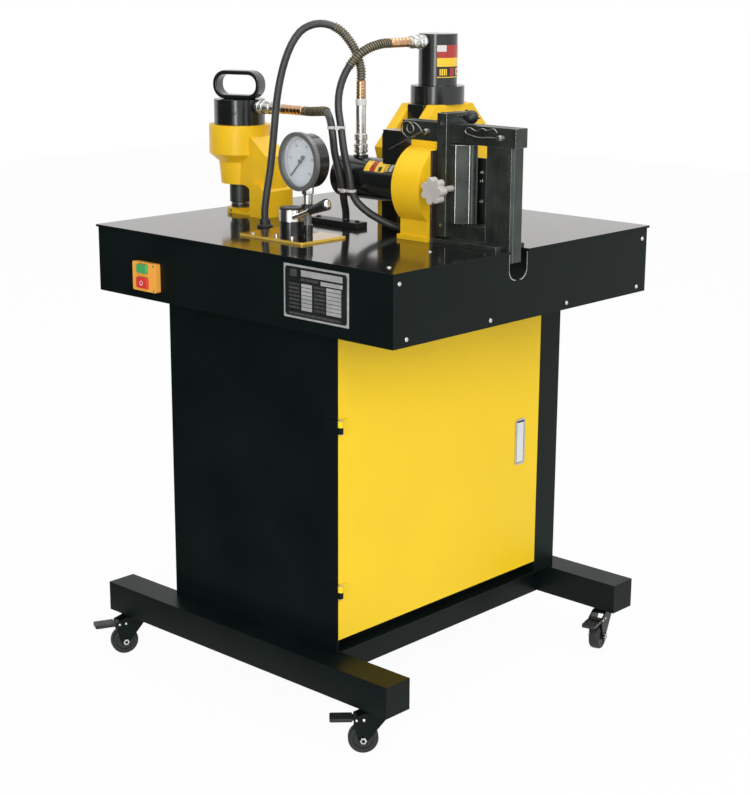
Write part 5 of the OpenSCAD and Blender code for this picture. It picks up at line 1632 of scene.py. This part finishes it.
class MACHINE_OT_cutter(bpy.types.Operator):
    """Dresses the cutting head and its cylinder"""

    bl_idname = "machine.cutter"
    bl_label = "Cutter"

    def execute(self, context):
        for node in ("cutter_plate_1", "cutter_plate_2"):
            dress(node, tool_yellow(), edge=0.0016, segments=3)
        dress("cutter_blocks", cylinder_black(), edge=0.0012)
        dress("cutter_cylinder", cylinder_black(), edge=0.0012, segments=3)
        blade = dress("cutter_ram", black_oxide(), bare_steel(), edge=0.0005, bare=True)
        edge_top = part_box("cutter_ram")[0].z + 0.012
        paint_faces(blade, [(1, lambda point: point.z < edge_top)])
        self.labels()
        self.plate_bolts()
        return {"FINISHED"}

    def labels(self):
        """Fields of plain colour where the cylinder's stickers are."""
        edges = []
        for toward_front in (52, -48):
            angle = math.radians(toward_front)
            edges.append(Vector((math.cos(angle), -math.sin(angle), 0.0)))
        fields = (
            (0.0, 0.28, 1.094, 1.105, 3), (0.28, 1.0, 1.083, 1.105, 1), (0.0, 0.28, 1.083, 1.094, 1),
            (0.0, 1.0, 1.068, 1.083, 0), (0.0, 1.0, 1.049, 1.068, 2), (0.08, 0.30, 1.053, 1.064, 0),
            (0.40, 0.56, 1.052, 1.066, 1), (0.66, 0.90, 1.053, 1.065, 0), (0.70, 0.82, 1.056, 1.062, 1),
            (0.0, 1.0, 1.049, 1.0505, 0),
        )
        label(
            "cutter_label", along((CUTTER_X, CUTTER_Y, 0.0), UP), CUTTER_CYLINDER_RADIUS + 0.0001, edges,
            fields, sticker_yellow(), sticker_red(), plate_black(), nylon(),
        )

    def plate_bolts(self):
        """Socket screws through the plates into the blocks."""
        mesh = bmesh.new()
        faces = ((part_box("cutter_plate_2")[1].x, 1), (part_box("cutter_plate_1")[0].x, -1))
        for x, sign in faces:
            for y, z in ((0.058, 0.826), (0.214, 0.826), (0.108, 0.985), (0.172, 0.985)):
                turned(mesh, socket_head(0.0066, 0.0016), along((x - sign * 0.0003, y, z), (sign, 0, 0)), 28)
        piece("cutter_bolts", mesh, "stand", "black_paint", black_oxide(), angle=30)


class MACHINE_OT_casters(bpy.types.Operator):
    """Dresses the four casters: tyres, hubs, axle heads, rivets and pedal ribs"""

    bl_idname = "machine.casters"
    bl_label = "Casters"

    def execute(self, context):
        joints = {joint["name"]: joint for joint in frame["joints"]}
        for number in range(1, 5):
            swivel = Vector(joints[f"swivel_{number}"]["pos_m"])
            axle = Vector(joints[f"axle_{number}"]["pos_m"])
            trail = Vector((axle.x - swivel.x, axle.y - swivel.y, 0.0)).normalized()
            side = Vector(joints[f"axle_{number}"]["axis"])
            dress(f"caster_fork_{number}", satin_black(), edge=0.0006)
            dress(f"caster_pedal_{number}", moulded_black(), edge=0.0009, segments=3)
            self.wheel(number, axle, side)
            self.fork_fasteners(number, swivel, axle, trail, side)
            self.pedal_ribs(number, swivel, trail, side)
        return {"FINISHED"}

    def wheel(self, number, axle, side):
        """The tyre with its crowned tread, on a recessed hub."""
        mesh = bmesh.new()
        place = along(axle, side)
        hub = [
            (0.0, -0.0098), (0.0078, -0.0098), (0.0088, -0.0090), (0.0090, -0.0076), (0.0156, -0.0076),
            (0.0166, -0.0092),
        ]
        turned(mesh, [*hub, *[(r, -z) for r, z in hub[::-1]]], place, 48, 1)
        tread = [
            (0.0164, -0.0094), (0.0172, -0.0099), (0.0210, -0.0100), (0.0232, -0.0092), (0.0245, -0.0074),
            (0.0250, -0.0052),
        ]
        turned(mesh, [*tread, *[(r, -z) for r, z in tread[::-1]]], place, 64)
        made = piece(
            f"caster_tyre_{number}", mesh, f"wheel_{number}", "wheel_rubber", tyre(), moulded_black(),
            angle=40,
        )
        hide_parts(f"caster_wheel_{number}")

    def fork_fasteners(self, number, swivel, axle, trail, side):
        """The axle's head and nut, and the rivets of the fork's cheeks."""
        mesh = bmesh.new()
        reach = 0.0135
        rivet = [(0.0, 0.0), (0.0024, 0.0), (0.0022, 0.0009), (0.0012, 0.0015), (0.0, 0.0016)]
        for sign in (-1, 1):
            out = side * sign
            turned(mesh, socket_head(0.0064, 0.0034), along(axle + out * reach, out), 6 if sign > 0 else 28)
            for behind, height in ((0.036, 0.060), (0.024, 0.0605)):
                at = Vector((swivel.x, swivel.y, height)) + trail * behind + out * (reach - 0.0001)
                turned(mesh, rivet, along(at, out), 20)
        piece(f"caster_rivets_{number}", mesh, f"fork_{number}", "bright_steel", zinc(), angle=30)

    def pedal_ribs(self, number, swivel, trail, side):
        """Cross ribs on the brake pedal's tread."""
        mesh = bmesh.new()
        for k in range(6):
            at = Vector((swivel.x, swivel.y, 0.0628)) + trail * (0.0610 + 0.0031 * k)
            path = [at + side * (0.0105 * (n / 4 - 1)) for n in range(9)]
            swept(mesh, path, 0.0008, 8)
        piece(
            f"caster_pedal_grip_{number}", mesh, f"pedal_{number}", "black_plastic", moulded_black(),
            angle=60,
        )


OPERATORS = (
    MACHINE_OT_stage,
    MACHINE_OT_hoses,
    MACHINE_OT_ties,
    MACHINE_OT_couplings,
    MACHINE_OT_table,
    MACHINE_OT_screws,
    MACHINE_OT_cabinet,
    MACHINE_OT_switch,
    MACHINE_OT_nameplate,
    MACHINE_OT_valve,
    MACHINE_OT_gauge,
    MACHINE_OT_punch,
    MACHINE_OT_bender,
    MACHINE_OT_cutter,
    MACHINE_OT_casters,
)


class MACHINE_PT_panel(bpy.types.Panel):
    """Lists the machine's settings and steps"""

    bl_label = "Busbar machine"
    bl_idname = "MACHINE_PT_panel"
    bl_space_type = "VIEW_3D"
    bl_region_type = "UI"
    bl_category = "Machine"

    def draw(self, context):
        layout = self.layout
        for group in (
            context.scene.machine_colours, context.scene.machine_sizes, context.scene.machine_stage,
        ):
            box = layout.box()
            for name in group.bl_rna.properties.keys():
                if name not in {"rna_type", "name"}:
                    box.prop(group, name)
        for operator in OPERATORS:
            layout.operator(operator.bl_idname)


CLASSES = (MachineColours, MachineSizes, MachineStage, *OPERATORS, MACHINE_PT_panel)


def register():
    for item in CLASSES:
        bpy.utils.register_class(item)
    bpy.types.Scene.machine_colours = bpy.props.PointerProperty(type=MachineColours)
    bpy.types.Scene.machine_sizes = bpy.props.PointerProperty(type=MachineSizes)
    bpy.types.Scene.machine_stage = bpy.props.PointerProperty(type=MachineStage)


def unregister():
    del bpy.types.Scene.machine_stage
    del bpy.types.Scene.machine_sizes
    del bpy.types.Scene.machine_colours
    for item in reversed(CLASSES):
        bpy.utils.unregister_class(item)


def main():
    register()
    for operator in OPERATORS:
        group, name = operator.bl_idname.split(".")
        getattr(getattr(bpy.ops, group), name)()


if __name__ == "__main__":
    main()
